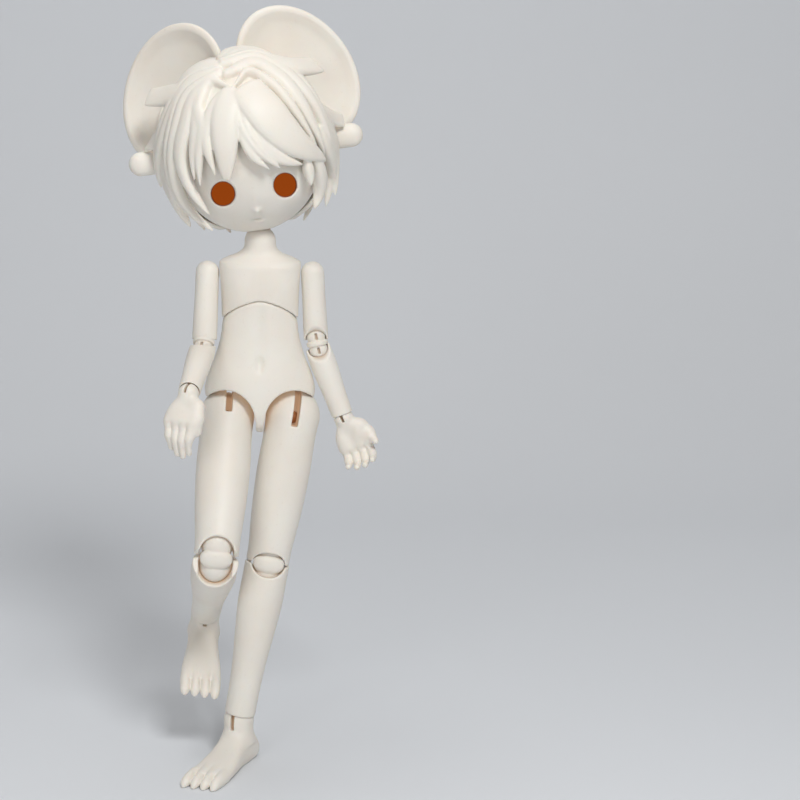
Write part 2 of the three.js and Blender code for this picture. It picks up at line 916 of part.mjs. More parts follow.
function headFace() {
  const nose = egg(
    head.noseHalfWidth,
    head.noseHalfWidth,
    head.noseHalfHeight,
    0,
    skullDepth(head.noseDrop),
    -head.noseDrop,
    facets.smallAround,
    facets.smallRows,
  );
  const whole = join([skull(0), nose, lobe(leftSide, 0), lobe(rightSide, 0)]);
  return largest(cut(whole, [
    ...headHollows(),
    behind(head.splitDepth),
    eyeHole(leftSide),
    eyeHole(rightSide),
    magnetDisc(leftSide, faceMagnetDepth, gap),
    magnetDisc(rightSide, faceMagnetDepth, gap),
  ]));
}

// How far forward the skull reaches at a height on its middle line
function skullDepth(drop) {
  return -head.halfDepth * Math.sqrt(1 - (drop / head.halfHeight) ** 2);
}

function headCap() {
  return largest(cut(skull(0), [
    ...headHollows(),
    frontOf(head.splitDepth + gap),
    magnetDisc(leftSide, capMagnetDepth, gap),
    magnetDisc(rightSide, capMagnetDepth, gap),
  ]));
}

// A cupped ear with a rolled rim: revolved shares of its radius and depth, from the back to the hollow
const earShares = [
  [0, 0],
  [0.42, 0.05],
  [0.76, 0.28],
  [0.95, 0.62],
  [1, 0.84],
  [0.965, 0.98],
  [0.88, 1],
  [0.8, 0.86],
  [0.62, 0.6],
  [0.34, 0.44],
  [0, 0.4],
];

function mouseEarBowl(side, grow, forward) {
  const name = sideName(side);
  const outline = earShares.map(([radius, depth]) => new THREE.Vector2(radius, depth));
  const shape = new THREE.LatheGeometry(outline, facets.earAround);
  const width = mouseEar.halfWidth + grow;
  const height = mouseEar.halfHeight + grow;
  shape.scale(width, mouseEar.depth + 2 * grow, height).rotateZ(Math.PI).translate(0, grow - forward, 0);
  shape.rotateY(radians(-side * mouseEar.lean)).rotateZ(radians(side * mouseEar.turn[name]));
  return solid(shape.translate(side * mouseEar.side[name], mouseEar.back, mouseEar.rise[name]));
}

function mouseEarPiece(side) {
  return largest(mouseEarBowl(side, 0, 0).subtract(skull(gap)));
}

// The ear with room round it and in front of it, which the hair leaves free
function mouseEarSpace(side) {
  const room = 2 * gap;
  return mouseEarBowl(side, room, 0).add(mouseEarBowl(side, room, room));
}

// Locks of hair. Each has its places from root to tip, as turn and rise in degrees, then its tip's lift off
// the skull and its width and thickness as shares
const frontLocks = [
  [[[0, 30], [15, 14], [29, -2], [56, -15]], 0.05, 1.3, 1.5],
  [[[-3, 23], [-1, 8], [6, -4], [18, -14]], 0.05, 0.45, 0.9],
  [[[-5, 32], [-10, 15], [-14, -1], [-17, -17]], 0.06, 0.6, 1.15],
  [[[-9, 32], [-21, 18], [-24, 1], [-19, -16]], 0.05, 0.55, 1],
  [[[-20, 42], [-34, 23], [-38, 3], [-40, -18]], 0.06, 0.55, 1],
  [[[-28, 35], [-44, 13], [-50, -12], [-40, -37]], 0.07, 0.5, 1.1],
  [[[-37, 35], [-56, 9], [-68, -21], [-48, -49]], 0.08, 0.6, 1.15],
  [[[-51, 37], [-61, 20], [-74, 2], [-89, -16]], 0.1, 0.7, 1],
  [[[-72, -2], [-82, -16], [-86, -28], [-86, -40]], 0.1, 0.7, 0.9],
  [[[-34, 31], [-53, 34], [-76, 35], [-88, 35]], 0.26, 0.75, 1],
  [[[-54, 23], [-68, 16], [-80, 9], [-88, 4]], 0.22, 0.6, 0.8],
  [[[16, 51], [40, 49], [64, 42], [84, 36]], 0.24, 0.85, 1.1],
  [[[-5, 35], [31, 42], [46, 14], [65, -15]], 0.04, 0.6, 1.2],
  [[[-10, 48], [42, 59], [61, 34], [73, 8]], 0.06, 0.85, 1.1],
  [[[59, 26], [71, 18], [80, 11], [86, 7]], 0.22, 0.7, 0.9],
  [[[54, 26], [57, 11], [64, -4], [66, -19]], 0.06, 0.6, 0.9],
  [[[66, 9], [82, -6], [85, -20], [85, -34]], 0.16, 0.65, 1],
  [[[54, -8], [62, -22], [74, -34], [82, -47]], 0.1, 0.6, 1],
  [[[-6, 36], [-25, 47], [-39, 36], [-45, 22]], 0.03, 0.6, 1],
  [[[-10, 53], [-44, 56], [-55, 39], [-61, 23]], 0.04, 0.8, 1],
  [[[-11, 47], [5, 66], [37, 65], [48, 52]], 0.05, 1, 1.1],
];

const backLocks = [
  [[[100, 66], [106, 20], [104, -42]], 0.16, 0.95, 1],
  [[[124, 74], [126, 20], [124, -52]], 0.12, 1, 1],
  [[[148, 66], [148, 16], [144, -46]], 0.16, 0.95, 1],
  [[[172, 76], [170, 20], [168, -54]], 0.12, 1, 1],
  [[[194, 66], [192, 18], [188, -46]], 0.16, 0.95, 1],
  [[[218, 76], [214, 20], [210, -54]], 0.12, 1, 1],
  [[[240, 66], [236, 18], [232, -46]], 0.16, 0.95, 1],
  [[[262, 70], [258, 20], [256, -48]], 0.16, 0.95, 1],
  [[[136, 34], [138, 4], [134, -34]], 0.22, 0.75, 0.9],
  [[[180, 34], [182, 4], [178, -32]], 0.22, 0.75, 0.9],
  [[[224, 34], [222, 4], [218, -34]], 0.22, 0.75, 0.9],
];

// How wide a lock is along its length: a narrow root, a full middle and a pointed tip
const lockRootShare = 0.2;
const lockTipShare = 0.985;
const lockRoundness = 0.8;

function lockFullness(t) {
  const share = lockRootShare + (lockTipShare - lockRootShare) * t;
  return Math.sin(Math.PI * share) ** lockRoundness;
}

function lock([places, tipLift, width, thick]) {
  const restLift = 1 + hair.thickness / head.halfWidth;
  const way = new THREE.CatmullRomCurve3(places.map(([turn, rise]) => new THREE.Vector3(turn, rise, 0)));
  const path = (t) => {
    const place = way.getPoint(t);
    return skullPoint(place.x, place.y, restLift + tipLift * t ** 3);
  };
  const step = 0.01;
  return solid(swept(facets.lockRows, facets.lockAround, (t, u, v) => {
    const middle = path(t);
    const ahead = path(Math.min(1, t + step));
    const along = ahead.sub(path(Math.max(0, t - step))).normalize();
    const across = along.clone().cross(middle).normalize();
    const out = across.clone().cross(along).normalize();
    const full = lockFullness(t);
    const halfWidth = hair.lockHalfWidth * width * full;
    const halfThickness = hair.lockHalfThickness * thick * full;
    return middle.addScaledVector(across, u * halfWidth).addScaledVector(out, v * halfThickness);
  }));
}

// The cap under the locks, with its front edge above the brow
function hairCap() {
  const cap = skull(hair.thickness, facets.hairAround, facets.hairRows);
  const front = -(head.halfDepth + hair.thickness);
  const slope = Math.atan2(hair.browRise + hair.napeDrop, hair.templeDepth - front);
  const opening = new THREE.BoxGeometry(2 * overrun, 2 * overrun, overrun).translate(0, 0, -overrun / 2);
  opening.rotateX(-slope).translate(0, front, hair.browRise);
  const below = block(2 * overrun, 2 * overrun, overrun, 0, 0, -hair.napeDrop - overrun / 2);
  return cut(cap, [solid(opening), below]);
}

// What the hair has to leave free: the skull, the lobes and the mouse ears
function underHair() {
  const sides = [leftSide, rightSide];
  return [
    skull(hair.seat, facets.hairAround, facets.hairRows),
    ...sides.map((side) => lobe(side, gap)),
    ...sides.map(mouseEarSpace),
  ];
}

function hairFront() {
  const whole = join([hairCap(), ...frontLocks.map(lock)]);
  return largest(cut(whole, [...underHair(), behind(hair.splitDepth)]));
}

function hairBack() {
  const whole = join([hairCap(), ...backLocks.map(lock)]);
  return largest(cut(whole, [...underHair(), frontOf(hair.splitDepth + gap)]));
}

// A solid as a named mesh of its own material
function meshOf(name, whole, material) {
  const { vertProperties, triVerts } = whole.getMesh();
  const geometry = new THREE.BufferGeometry();
  geometry.setAttribute("position", new THREE.Float32BufferAttribute(vertProperties, 3));
  geometry.setIndex([...triVerts]);
  geometry.computeVertexNormals();
  const mesh = new THREE.Mesh(geometry, new THREE.MeshStandardMaterial(materials[material]));
  mesh.name = name;
  return mesh;
}

// A group at a joint, turned by the pose about its own axes
function jointGroup(parent, x, y, z, { swing = 0, side = 0, turn = 0 } = {}) {
  const group = new THREE.Group();
  group.position.set(x, y, z);
  group.rotation.set(radians(-swing), radians(-side), radians(turn));
  parent.add(group);
  return group;
}

function leg(pelvis, side, label, angles) {
  const thighGroup = jointGroup(pelvis, side * hip.side, 0, hip.rise, angles.hip);
  thighGroup.add(meshOf(`thigh_${label}`, thighPiece(), "resin"));
  thighGroup.add(meshOf(`hip_bead_${label}`, bead(beadRadius.hip), "bead"));
  const half = knee.pivotSpacing / 2;
  const upper = jointGroup(thighGroup, 0, 0, half - thighLength, { swing: -angles.knee.upper });
  const link = meshOf(`knee_link_${label}`, kneeLink(), "resin");
  link.position.z = -half;
  upper.add(link);
  const lower = jointGroup(upper, 0, 0, -knee.pivotSpacing, { swing: -angles.knee.lower });
  const shinMesh = meshOf(`shin_${label}`, shinPiece(), "resin");
  shinMesh.position.z = half;
  lower.add(shinMesh);
  const footGroup = jointGroup(lower, 0, 0, half - shin.length, angles.foot);
  footGroup.add(meshOf(`foot_${label}`, footPiece(side), "resin"));
  footGroup.add(meshOf(`ankle_hook_${label}`, hookRing(ankle, 0), "wire"));
  return footGroup;
}

function arm(chestGroup, side, label, angles) {
  const upper = jointGroup(chestGroup, side * shoulder.side, 0, shoulder.height, angles.shoulder);
  upper.add(meshOf(`upper_arm_${label}`, upperArmPiece(side, label), "resin"));
  upper.add(meshOf(`shoulder_bead_${label}`, bead(beadRadius.shoulder), "bead"));
  const half = elbow.pivotSpacing / 2;
  const link = jointGroup(upper, 0, 0, half - upperArmLength, angles.elbow.upper);
  const linkMesh = meshOf(`elbow_link_${label}`, elbowLink(), "resin");
  linkMesh.position.z = -half;
  link.add(linkMesh);
  const lower = jointGroup(link, 0, 0, -elbow.pivotSpacing, angles.elbow.lower);
  const forearmMesh = meshOf(`forearm_${label}`, forearmPiece(), "resin");
  forearmMesh.position.z = half;
  lower.add(forearmMesh);
  const handGroup = jointGroup(lower, 0, 0, half - forearm.length, angles.hand);
  handGroup.add(meshOf(`hand_${label}`, handPiece(side, label), "resin"));
  handGroup.add(meshOf(`wrist_hook_${label}`, hookRing(wrist, wristSlotTurns[0]), "wire"));
}

function headPieces(chestGroup) {
  const neck = jointGroup(chestGroup, 0, 0, torso.neckCentreHeight, pose.head);
  chestGroup.add(meshOf("neck_bead", bead(beadRadius.neck, torso.neckCentreHeight), "bead"));
  const hook = meshOf("neck_hook", hookRing(head, wristSlotTurns[0]), "wire");
  hook.position.z = torso.neckRadius + gap + head.hookRadius + head.hookWire;
  neck.add(hook);
  const middle = jointGroup(neck, 0, 0, head.neckInset + head.halfHeight);
  middle.add(
    meshOf("head_face", headFace(), "resin"),
    meshOf("head_cap", headCap(), "resin"),
    meshOf("hair_front", hairFront(), "hair"),
    meshOf("hair_back", hairBack(), "hair"),
    meshOf("mouse_ear_left", mouseEarPiece(leftSide), "resin"),
    meshOf("mouse_ear_right", mouseEarPiece(rightSide), "resin"),
    meshOf("face_magnet_left", magnetDisc(leftSide, faceMagnetDepth, 0), "wire"),
    meshOf("face_magnet_right", magnetDisc(rightSide, faceMagnetDepth, 0), "wire"),
    meshOf("cap_magnet_left", magnetDisc(leftSide, capMagnetDepth, 0), "wire"),
    meshOf("cap_magnet_right", magnetDisc(rightSide, capMagnetDepth, 0), "wire"),
  );
}

// The whole doll, hung from the pelvis and then set down on the left foot
function ballJointedDoll() {
  const doll = new THREE.Group();
  const pelvis = jointGroup(doll, 0, 0, 0);
  pelvis.add(meshOf("lower_torso", lowerTorso(), "resin"));
  pelvis.add(meshOf("waist_bead", bead(beadRadius.waist, torso.waistCentreHeight), "bead"));
  const chestGroup = jointGroup(pelvis, 0, 0, 0);
  chestGroup.add(meshOf("chest", chest(), "resin"));
  headPieces(chestGroup);
  arm(chestGroup, rightSide, "right", {
    shoulder: pose.rightShoulder,
    elbow: pose.rightElbow,
    hand: pose.rightHand,
  });
  arm(chestGroup, leftSide, "left", {
    shoulder: pose.leftShoulder,
    elbow: pose.leftElbow,
    hand: pose.leftHand,
  });
  leg(pelvis, rightSide, "right", {
    hip: pose.raisedHip,
    knee: pose.raisedKnee,
    foot: pose.raisedFoot,
  });
  const standingFoot = leg(pelvis, leftSide, "left", {
    hip: pose.standingHip,
    knee: pose.standingKnee,
  });

  // The standing foot is level, whatever the leg above it does
  doll.updateMatrixWorld(true);
  const shinTurn = standingFoot.parent.getWorldQuaternion(new THREE.Quaternion());
  const level = new THREE.Quaternion().setFromAxisAngle(
    new THREE.Vector3(0, 0, 1),
    radians(pose.standingFootTurn),
  );
  standingFoot.quaternion.copy(shinTurn.invert().multiply(level));
  const ankleCentre = standingFoot.getWorldPosition(new THREE.Vector3());
  pelvis.position.set(-ankleCentre.x, -ankleCentre.y, foot.ankleHeight - ankleCentre.z);
  doll.updateMatrixWorld(true);
  return doll;
}

export default ballJointedDoll();
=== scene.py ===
# Looks for a ball jointed resin doll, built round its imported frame.
# Every piece is worked out as a distance field in millimetres, meshed, and placed in the part's frame.
import math
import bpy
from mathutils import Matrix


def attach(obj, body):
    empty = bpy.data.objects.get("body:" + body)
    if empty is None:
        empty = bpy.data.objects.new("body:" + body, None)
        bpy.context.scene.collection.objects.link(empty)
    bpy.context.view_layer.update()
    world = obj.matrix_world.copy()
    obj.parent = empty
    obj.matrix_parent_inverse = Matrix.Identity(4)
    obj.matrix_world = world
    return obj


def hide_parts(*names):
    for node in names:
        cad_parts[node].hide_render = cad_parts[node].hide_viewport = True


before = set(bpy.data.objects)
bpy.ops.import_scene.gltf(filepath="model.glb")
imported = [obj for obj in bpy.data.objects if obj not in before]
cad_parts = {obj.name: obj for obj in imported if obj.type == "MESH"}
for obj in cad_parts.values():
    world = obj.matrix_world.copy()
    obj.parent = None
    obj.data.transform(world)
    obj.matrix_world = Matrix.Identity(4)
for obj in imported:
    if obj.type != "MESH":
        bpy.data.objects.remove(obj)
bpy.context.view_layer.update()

from types import SimpleNamespace as Sizes

import bpy
import numpy as np
import openvdb
from mathutils import Matrix, Vector

mm = 0.001  # metres in a millimetre
tiny = 1e-6
gap = 0.3  # between neighbouring pieces
edge, fine_edge, slot_edge, thin_edge = 0.45, 0.3, 0.25, 0.2  # rounding of cut edges
twin_blend = 0.4  # rounding between the two balls of a link and its waist
coarse = 1  # larger cells while trying things
cell = Sizes(limb=0.42 * coarse, small=0.3 * coarse, body=0.5 * coarse, hair=0.5 * coarse)
LEFT, RIGHT = 1, -1

# Driving dimensions, as in the part's source but for a fuller kneecap and a wig that sits closer; heights
# of the torso are from the pelvis mark
torso = Sizes(
    crotch=-4.8, crotch_half=1.5, half_width=21.6, half_depth=12.2, top=49.6,
    waist=34.5, waist_radius=15.3, waist_bore=2.8, chest_bottom=35,
    neck=69.9, neck_radius=6.1, neck_cavity=2.3, neck_bore=1.5, navel=23, waist_edge=0.8,
)
hip = Sizes(side=12.9, rise=0.4, half_width=10.7, radius=11.9, clearance=0.45, cavity=2.9,
            slot_width=2.5, slot_run=3)
knee = Sizes(
    radius=6.2, spacing=9, relief=60, inset=1.2, arch=4.6, waist=0.6,
    cap=(6.2, 2.8), cap_reach=7.4, cap_rise=3.7, cap_drop=4.25, cap_square=2.6,
)
thigh_length = 58.5
shin = Sizes(length=65.4, half_width=8.8, half_depth=9.2)
ankle = Sizes(radius=6, rim=2.4, hook=2.2, wire=0.6, slot_width=1.6, slot_run=3)
foot = Sizes(
    ankle=17.4, heel=11, reach=31.6, half_width=8.4, instep=14.2, ankle_blend=2.5, square=2.6,
    toes=4, toe_half=2.4, toe_length=10, toe_height=5, toe_share=0.9, toe_step=0.045, toe_blend=0.5,
    web=1.6, groove=0.5, groove_reach=1, groove_half=(0.7, 4.5, 3),
)
shoulder = Sizes(side=20.4, height=57.6, radius=4.6, cavity=1.9, slot_width=1.3)
elbow = Sizes(
    radius=3.7, drum=4.2, drum_edge=0.6, spacing=5.6, band=1.3, relief=52, inset=0.3, waist=0.8,
    slot_width=1, slot_depth=1.6, slot_run=2.6,
)
upper_arm_length = 27.6
forearm = Sizes(length=31.6, half_width=5.1)
wrist = Sizes(radius=3.9, rim=1.6, hook=1.4, wire=0.4, slot_width=1, slot_run=0.8)
hand = Sizes(
    palm=13.5, palm_half=7, finger_radius=1.7, finger=13, spacing=3.2, thumb=10, thumb_radius=1.9,
    rim=2.6, finger_blend=1.1, thumb_blend=3,
    curl={LEFT: 105, RIGHT: 58}, fan={LEFT: -2, RIGHT: 5}, thumb_turn={LEFT: 24, RIGHT: 8},
)
head = Sizes(
    half=(30, 30, 33.3), wall=3, neck_inset=3.9, neck_hole=4.2, split=5,
    eye_side=11.7, eye_drop=16.6, eye_half=(4.7, 4.85), eye_taper=0.2, eye_edge=0.35,
    nose_drop=25, lobe_side=35.5, lobe_rise=-1.6, lobe_half=(10, 3.3, 4.6), lobe_blend=1.5,
)
mouse_ear = Sizes(
    half_width=21.5, half_height=28.6, depth=6.5, back=9, lean=34,
    side={LEFT: 23.3, RIGHT: 21.6}, rise={LEFT: 24.6, RIGHT: 22.6}, turn={LEFT: 12, RIGHT: 30},
)
hair = Sizes(
    seat=1.2, thickness=3, brow=16, nape=31, temple=8, split=9,
    half_width=6.5, half_thick=2.6, blend=0.25, groove_half=0.14, groove_depth=0.14,
)

# The pose that the doll stands in: forward swing, side swing and turn, in degrees
pose = Sizes(
    head=(2, 8.6, 2), standing_foot_turn=-27,
    hip={LEFT: (7, -9.6, 5), RIGHT: (36.7, -3.4, 5)},
    knee={LEFT: (2, 3), RIGHT: (42, 51)},
    raised_foot=(37.5, 0, 0),
    shoulder={LEFT: (2, 3.4), RIGHT: (12, -2.4, -10)},
    elbow={LEFT: ((2, 8), (2, 9)), RIGHT: ((24,), (26,))},
    hand={LEFT: (-5, 5, 78), RIGHT: (-34, -8, 78)},
    upper_arm_turn={LEFT: 0, RIGHT: 180},
)


# Distance fields: each takes p, the x, y and z of every point, and is below 0 inside

def size_of(*parts):
    return np.sqrt(sum(part * part for part in parts))


def ball(p, radius, centre=(0, 0, 0)):
    return size_of(*(a - c for a, c in zip(p, centre))) - radius


def egg(p, half, centre=(0, 0, 0)):
    parts = [a - c for a, c in zip(p, centre)]
    near = size_of(*(a / h for a, h in zip(parts, half)))
    steep = size_of(*(a / (h * h) for a, h in zip(parts, half)))
    return near * (near - 1) / np.maximum(steep, tiny)


def block(p, half, centre=(0, 0, 0)):
    over = [abs(a - c) - h for a, c, h in zip(p, centre, half)]
    outside = size_of(*(np.maximum(a, 0) for a in over))
    return outside + np.minimum(np.maximum(np.maximum(over[0], over[1]), over[2]), 0)


def join(a, b, blend=0.0):
    if not blend:
        return np.minimum(a, b)
    near = np.maximum(blend - abs(a - b), 0) / blend
    return np.minimum(a, b) - near * near * blend / 4


def common(a, b, blend=0.0):
    return -join(-a, -b, blend)


def cut(whole, cutter, blend=edge):
    return common(whole, -cutter, blend)


def seen_from(p, matrix):
    """The points p in the axes of a placed frame."""
    inverse = matrix.inverted()
    return tuple(sum(row[k] * p[k] for k in range(3)) + row[3] for row in inverse[:3])


def turned_z(p, degrees):
    angle = math.radians(degrees)
    x, y, z = p
    return (x * math.cos(angle) + y * math.sin(angle), y * math.cos(angle) - x * math.sin(angle), z)


def smooth_curve(knots, values, where):
    """A cubic through the values at the knots, read at many places."""
    knots = np.asarray(knots, float)
    values = np.asarray(values, float)
    slopes = np.gradient(values, knots)
    where = np.clip(where, knots[0], knots[-1])
    index = np.clip(np.searchsorted(knots, where, side="right") - 1, 0, len(knots) - 2)
    step = knots[index + 1] - knots[index]
    t = (where - knots[index]) / step
    return (
        (2 * t ** 3 - 3 * t ** 2 + 1) * values[index]
        + (t ** 3 - 2 * t ** 2 + t) * step * slopes[index]
        + (3 * t ** 2 - 2 * t ** 3) * values[index + 1]
        + (t ** 3 - t ** 2) * step * slopes[index + 1]
    )


def profile(shares, way):
    """Width, depth, front shift and squareness at each place of the way from 0 to 1. A row may leave out
    the last two, which are then 0 and 2."""
    rows = [list(row) + [0, 2][len(row) - 3:] for row in shares]
    knots = [row[0] for row in rows]
    return [smooth_curve(knots, [row[k] for row in rows], way) for k in range(1, 5)]


def loft(p, start, end, half_width, half_depth, shares, dome=0.0, rim=edge):
    """A body along z whose sections follow shares, with a dome on its start."""
    x, y, z = p
    run = abs(end - start)
    way = (z - start) / (end - start)
    width, depth, front, square = profile(shares, np.clip(way, 0, 1))
    u = abs(x) / (half_width * width)
    v = abs(y + front * half_depth) / (half_depth * depth)
    ring = (u ** square + v ** square) ** (1 / square)
    scale = np.minimum(half_width * width, half_depth * depth)
    if dome:
        near = size_of(ring, np.maximum(-way * run, 0) / dome)
        side = (near - 1) * scale
    else:
        side = common((ring - 1) * scale, -way * run, rim)
    return common(side, (way - 1) * run, rim)


def socket(p, radius, centre, way):
    """Room for a ball that comes in along z from below, way -1, or above, way 1."""
    x, y, z = p
    return size_of(x, y, np.maximum(-way * (z - centre), 0)) - radius


def arch(p, rim):
    x, y, z = p
    radius = knee.radius + gap
    across = size_of(x / radius, (z - rim) / knee.arch) - 1
    return common(across * knee.arch, y)


def relief(p, inset, height, degrees, back, up):
    """The wedge that a folding joint needs: back is the side it opens to, up the way it climbs."""
    angle = math.radians(90 - degrees)
    y = back * p[1] - inset
    z = up * (p[2] - height)
    level = y * math.sin(angle) + z * math.cos(angle)
    steep = y * math.cos(angle) - z * math.sin(angle)
    return np.maximum(-steep, -level)


def bump(p, centre, half):
    """1 at the centre, falling off smoothly over the half sizes."""
    return np.exp(-sum(((a - c) / h) ** 2 for a, c, h in zip(p, centre, half)))


def modelled(p, forms):
    """Soft hollows, or swells where the depth is negative, each with its centre and half sizes."""
    return sum(depth * bump(p, centre, half) for depth, centre, half in forms)


def on_both_sides(depth, centre, half):
    x, y, z = centre
    return [(depth, (side * x, y, z), half) for side in (LEFT, RIGHT)]


# Torso. Every shares table lists the place along a body from 0 to 1, then the width and depth there as
# shares of the half sizes, the shift to the front, and how square the section is, 2 being round.

lower_torso_shares = [
    (0, 0.1, 0.4, 0, 2.3), (0.03, 0.2, 0.66, 0, 2.3), (0.12, 0.6, 0.94, 0, 2.3),
    (0.2, 0.92, 0.99, 0, 2.3), (0.29, 1, 1, 0, 2.3), (0.4, 0.955, 0.96, 0, 2.3),
    (0.54, 0.82, 0.86, 0, 2.3), (0.68, 0.715, 0.78, 0, 2.3), (0.8, 0.695, 0.75, 0, 2.3),
    (1, 0.71, 0.77, 0, 2.3),
]
chest_shares = [
    (0, 1, 1, 0, 2), (0.054, 1.02, 1, 0, 2), (0.097, 1.18, 1, 0, 2), (0.126, 1.42, 1.02, 0, 2.1),
    (0.18, 2.18, 1.16, 0, 2.2), (0.223, 2.57, 1.3, 0, 2.3), (0.27, 2.6, 1.41, 0, 2.3),
    (0.4, 2.54, 1.55, 0, 2.4), (0.58, 2.48, 1.58, 0, 2.4), (0.8, 2.45, 1.5, 0, 2.4),
    (1, 2.43, 1.46, 0, 2.4),
]

midline = (0.6, (0, -10, 36), (2.2, 6, 12))
belly = (-0.5, (0, -12, 12), (9, 8, 9))
navel = (1.5, (0, -11, torso.navel), (1.4, 4, 2.6))
sternum = (0.45, (0, -9.5, 50), (2.6, 6, 10))
chest_swells = on_both_sides(-0.35, (8, -10, 50), (6, 6, 6))
collar_bones = on_both_sides(-0.3, (8, -8, 60), (6.5, 4, 1.4))


def lower_torso(p):
    x, y, z = p
    whole = loft(p, torso.crotch, torso.top, torso.half_width, torso.half_depth, lower_torso_shares)
    whole = whole + modelled(p, [midline, belly, navel])
    dome = ball(p, torso.waist_radius, (0, 0, torso.waist))
    solid = common(whole, np.minimum(dome, z - torso.waist), torso.waist_edge)
    for side in (LEFT, RIGHT):
        room = (hip.half_width + hip.clearance, hip.radius + hip.clearance, hip.radius + hip.clearance)
        solid = cut(solid, egg(p, room, (side * hip.side, 0, hip.rise)))
        u = (x - side * hip.side) / (hip.half_width + gap)
        v = (z - hip.rise) / (hip.radius + gap)
        opening = (size_of(u, v) - 1) * hip.half_width
        below = np.maximum(torso.crotch_half - side * x, z - hip.rise)
        solid = cut(solid, np.minimum(opening, below))
    return cut(solid, socket(p, torso.waist_bore, torso.waist, 1)), -whole


def chest(p):
    x, y, z = p
    whole = loft(p, torso.neck, torso.chest_bottom, torso.neck_radius, torso.neck_radius, chest_shares,
                 dome=torso.neck_radius)
    whole = whole + modelled(p, [sternum] + chest_swells + collar_bones)
    solid = cut(whole, ball(p, torso.waist_radius + gap, (0, 0, torso.waist)))
    for side in (LEFT, RIGHT):
        solid = cut(solid, ball(p, shoulder.radius + gap, (side * shoulder.side, 0, shoulder.height)))
    solid = cut(solid, ball(p, torso.neck_cavity, (0, 0, torso.neck)))
    return cut(solid, np.maximum(size_of(x, y) - torso.neck_bore, torso.neck - z)), -whole


# Legs

thigh_shares = [
    (0, 1, 1), (0.06, 0.97, 0.99), (0.13, 0.96, 0.97), (0.36, 0.98, 0.9, 0.01), (0.56, 0.95, 0.82, 0.02),
    (0.75, 0.88, 0.74, 0.02), (0.9, 0.81, 0.69, 0.01), (1, 0.8, 0.68),
]
shin_shares = [
    (0, 1, 0.92), (0.1, 1, 0.97, -0.03), (0.27, 1, 1, -0.08), (0.45, 0.9, 0.9, -0.06),
    (0.65, 0.77, 0.76, -0.03), (0.82, 0.71, 0.7), (1, 0.695, 0.68),
]
foot_shares = [
    (0, 0.42, 0.34), (0.1, 0.66, 0.62), (0.26, 0.74, 0.9), (0.42, 0.74, 0.86), (0.6, 0.84, 0.6),
    (0.8, 0.95, 0.42), (1, 0.9, 0.34),
]
ankle_shares = [(0, 1, 1), (0.4, 0.98, 1.02, 0.02), (0.75, 1, 1.15, 0.06), (1, 1.05, 1.25, 0.1)]
toe_shares = [(0, 0.8, 0.9), (0.35, 0.9, 1), (0.64, 0.88, 0.88), (0.87, 0.66, 0.6), (1, 0.22, 0.2)]


def thigh(p):
    x, y, z = p
    whole = loft(p, 0, -thigh_length, hip.half_width, hip.radius, thigh_shares, dome=hip.radius)
    solid = cut(whole, socket(p, knee.radius + gap, knee.spacing / 2 - thigh_length, -1))
    solid = cut(solid, arch(p, -thigh_length))
    solid = cut(solid, relief(p, knee.inset, -thigh_length, knee.relief, 1, 1))
    solid = cut(solid, ball(p, hip.cavity))
    tall = (hip.slot_run + hip.radius) / 2
    slot = block(p, (hip.slot_width / 2, hip.radius / 2, tall), (0, -hip.radius / 2, tall - hip.slot_run))
    top = block(p, (hip.slot_width / 2, hip.cavity / 2, hip.radius / 2), (0, 0, hip.radius / 2))
    return cut(solid, np.minimum(slot, top), slot_edge), -whole


def twin_ball(p, radius, half, waist):
    """Two balls with a waist between them."""
    x, y, z = p
    neck = np.maximum(size_of(x, y) - radius + waist, abs(z) - half)
    balls = join(ball(p, radius, (0, 0, half)), ball(p, radius, (0, 0, -half)))
    return join(balls, neck, twin_blend)


def knee_link(p):
    half = knee.spacing / 2
    balls = twin_ball(p, knee.radius, half, knee.waist)
    half_width, half_depth = knee.cap
    x, y, z = p
    ring = size_of(x / half_width, (y - half_depth + knee.cap_reach) / half_depth)
    rise = np.where(z > 0, z / knee.cap_rise, -z / knee.cap_drop)
    square = np.where(z > 0, knee.cap_square, 2)
    cap = ((ring ** square + rise ** square) ** (1 / square) - 1) * half_depth
    solid = join(balls, cap, fine_edge)
    return solid, -solid


def shin_piece(p):
    end = ankle.rim - shin.length
    whole = loft(p, -gap, end, shin.half_width, shin.half_depth, shin_shares)
    solid = cut(whole, socket(p, knee.radius + gap, -knee.spacing / 2, 1))
    solid = cut(solid, arch(p, 0))
    solid = cut(solid, relief(p, knee.inset, 0, knee.relief, 1, -1))
    return cut(solid, ball(p, ankle.radius + gap, (0, 0, -shin.length))), -whole


def runner(p, start, end, half_width, height, floor, shares, square, across=0.0):
    """A body that runs over the floor along y, with its underside let a little into it."""
    sunk, round_end = 0.12, 1.2
    x, y, z = p
    way = (y - start) / (end - start)
    width, tall, _, _ = profile(shares, np.clip(way, 0, 1))
    half_wide = half_width * width
    half_tall = height * tall * (1 + sunk) / 2
    middle = floor + height * tall * (1 - sunk) / 2
    u = abs((x - across) / half_wide)
    v = abs((z - middle) / half_tall)
    ring = (u ** square + v ** square) ** (1 / square)
    side = (ring - 1) * np.minimum(half_wide, half_tall)
    run = abs(end - start)
    return common(common(side, (way - 1) * run, round_end), -way * run, round_end)


def hook_slots(p, joint, turns):
    reach = joint.hook + joint.wire + gap
    made = None
    for turn in turns:
        x, y, z = turned_z(p, turn)
        disc = np.maximum(size_of(y, z) - reach, abs(x) - joint.slot_width / 2)
        tall = (joint.radius + joint.slot_run) / 2
        front = block((x, y, z), (joint.slot_width / 2, (joint.radius + gap) / 2, tall),
                      (0, -(joint.radius + gap) / 2, tall - joint.slot_run))
        both = np.minimum(disc, front)
        made = both if made is None else np.minimum(made, both)
    return made


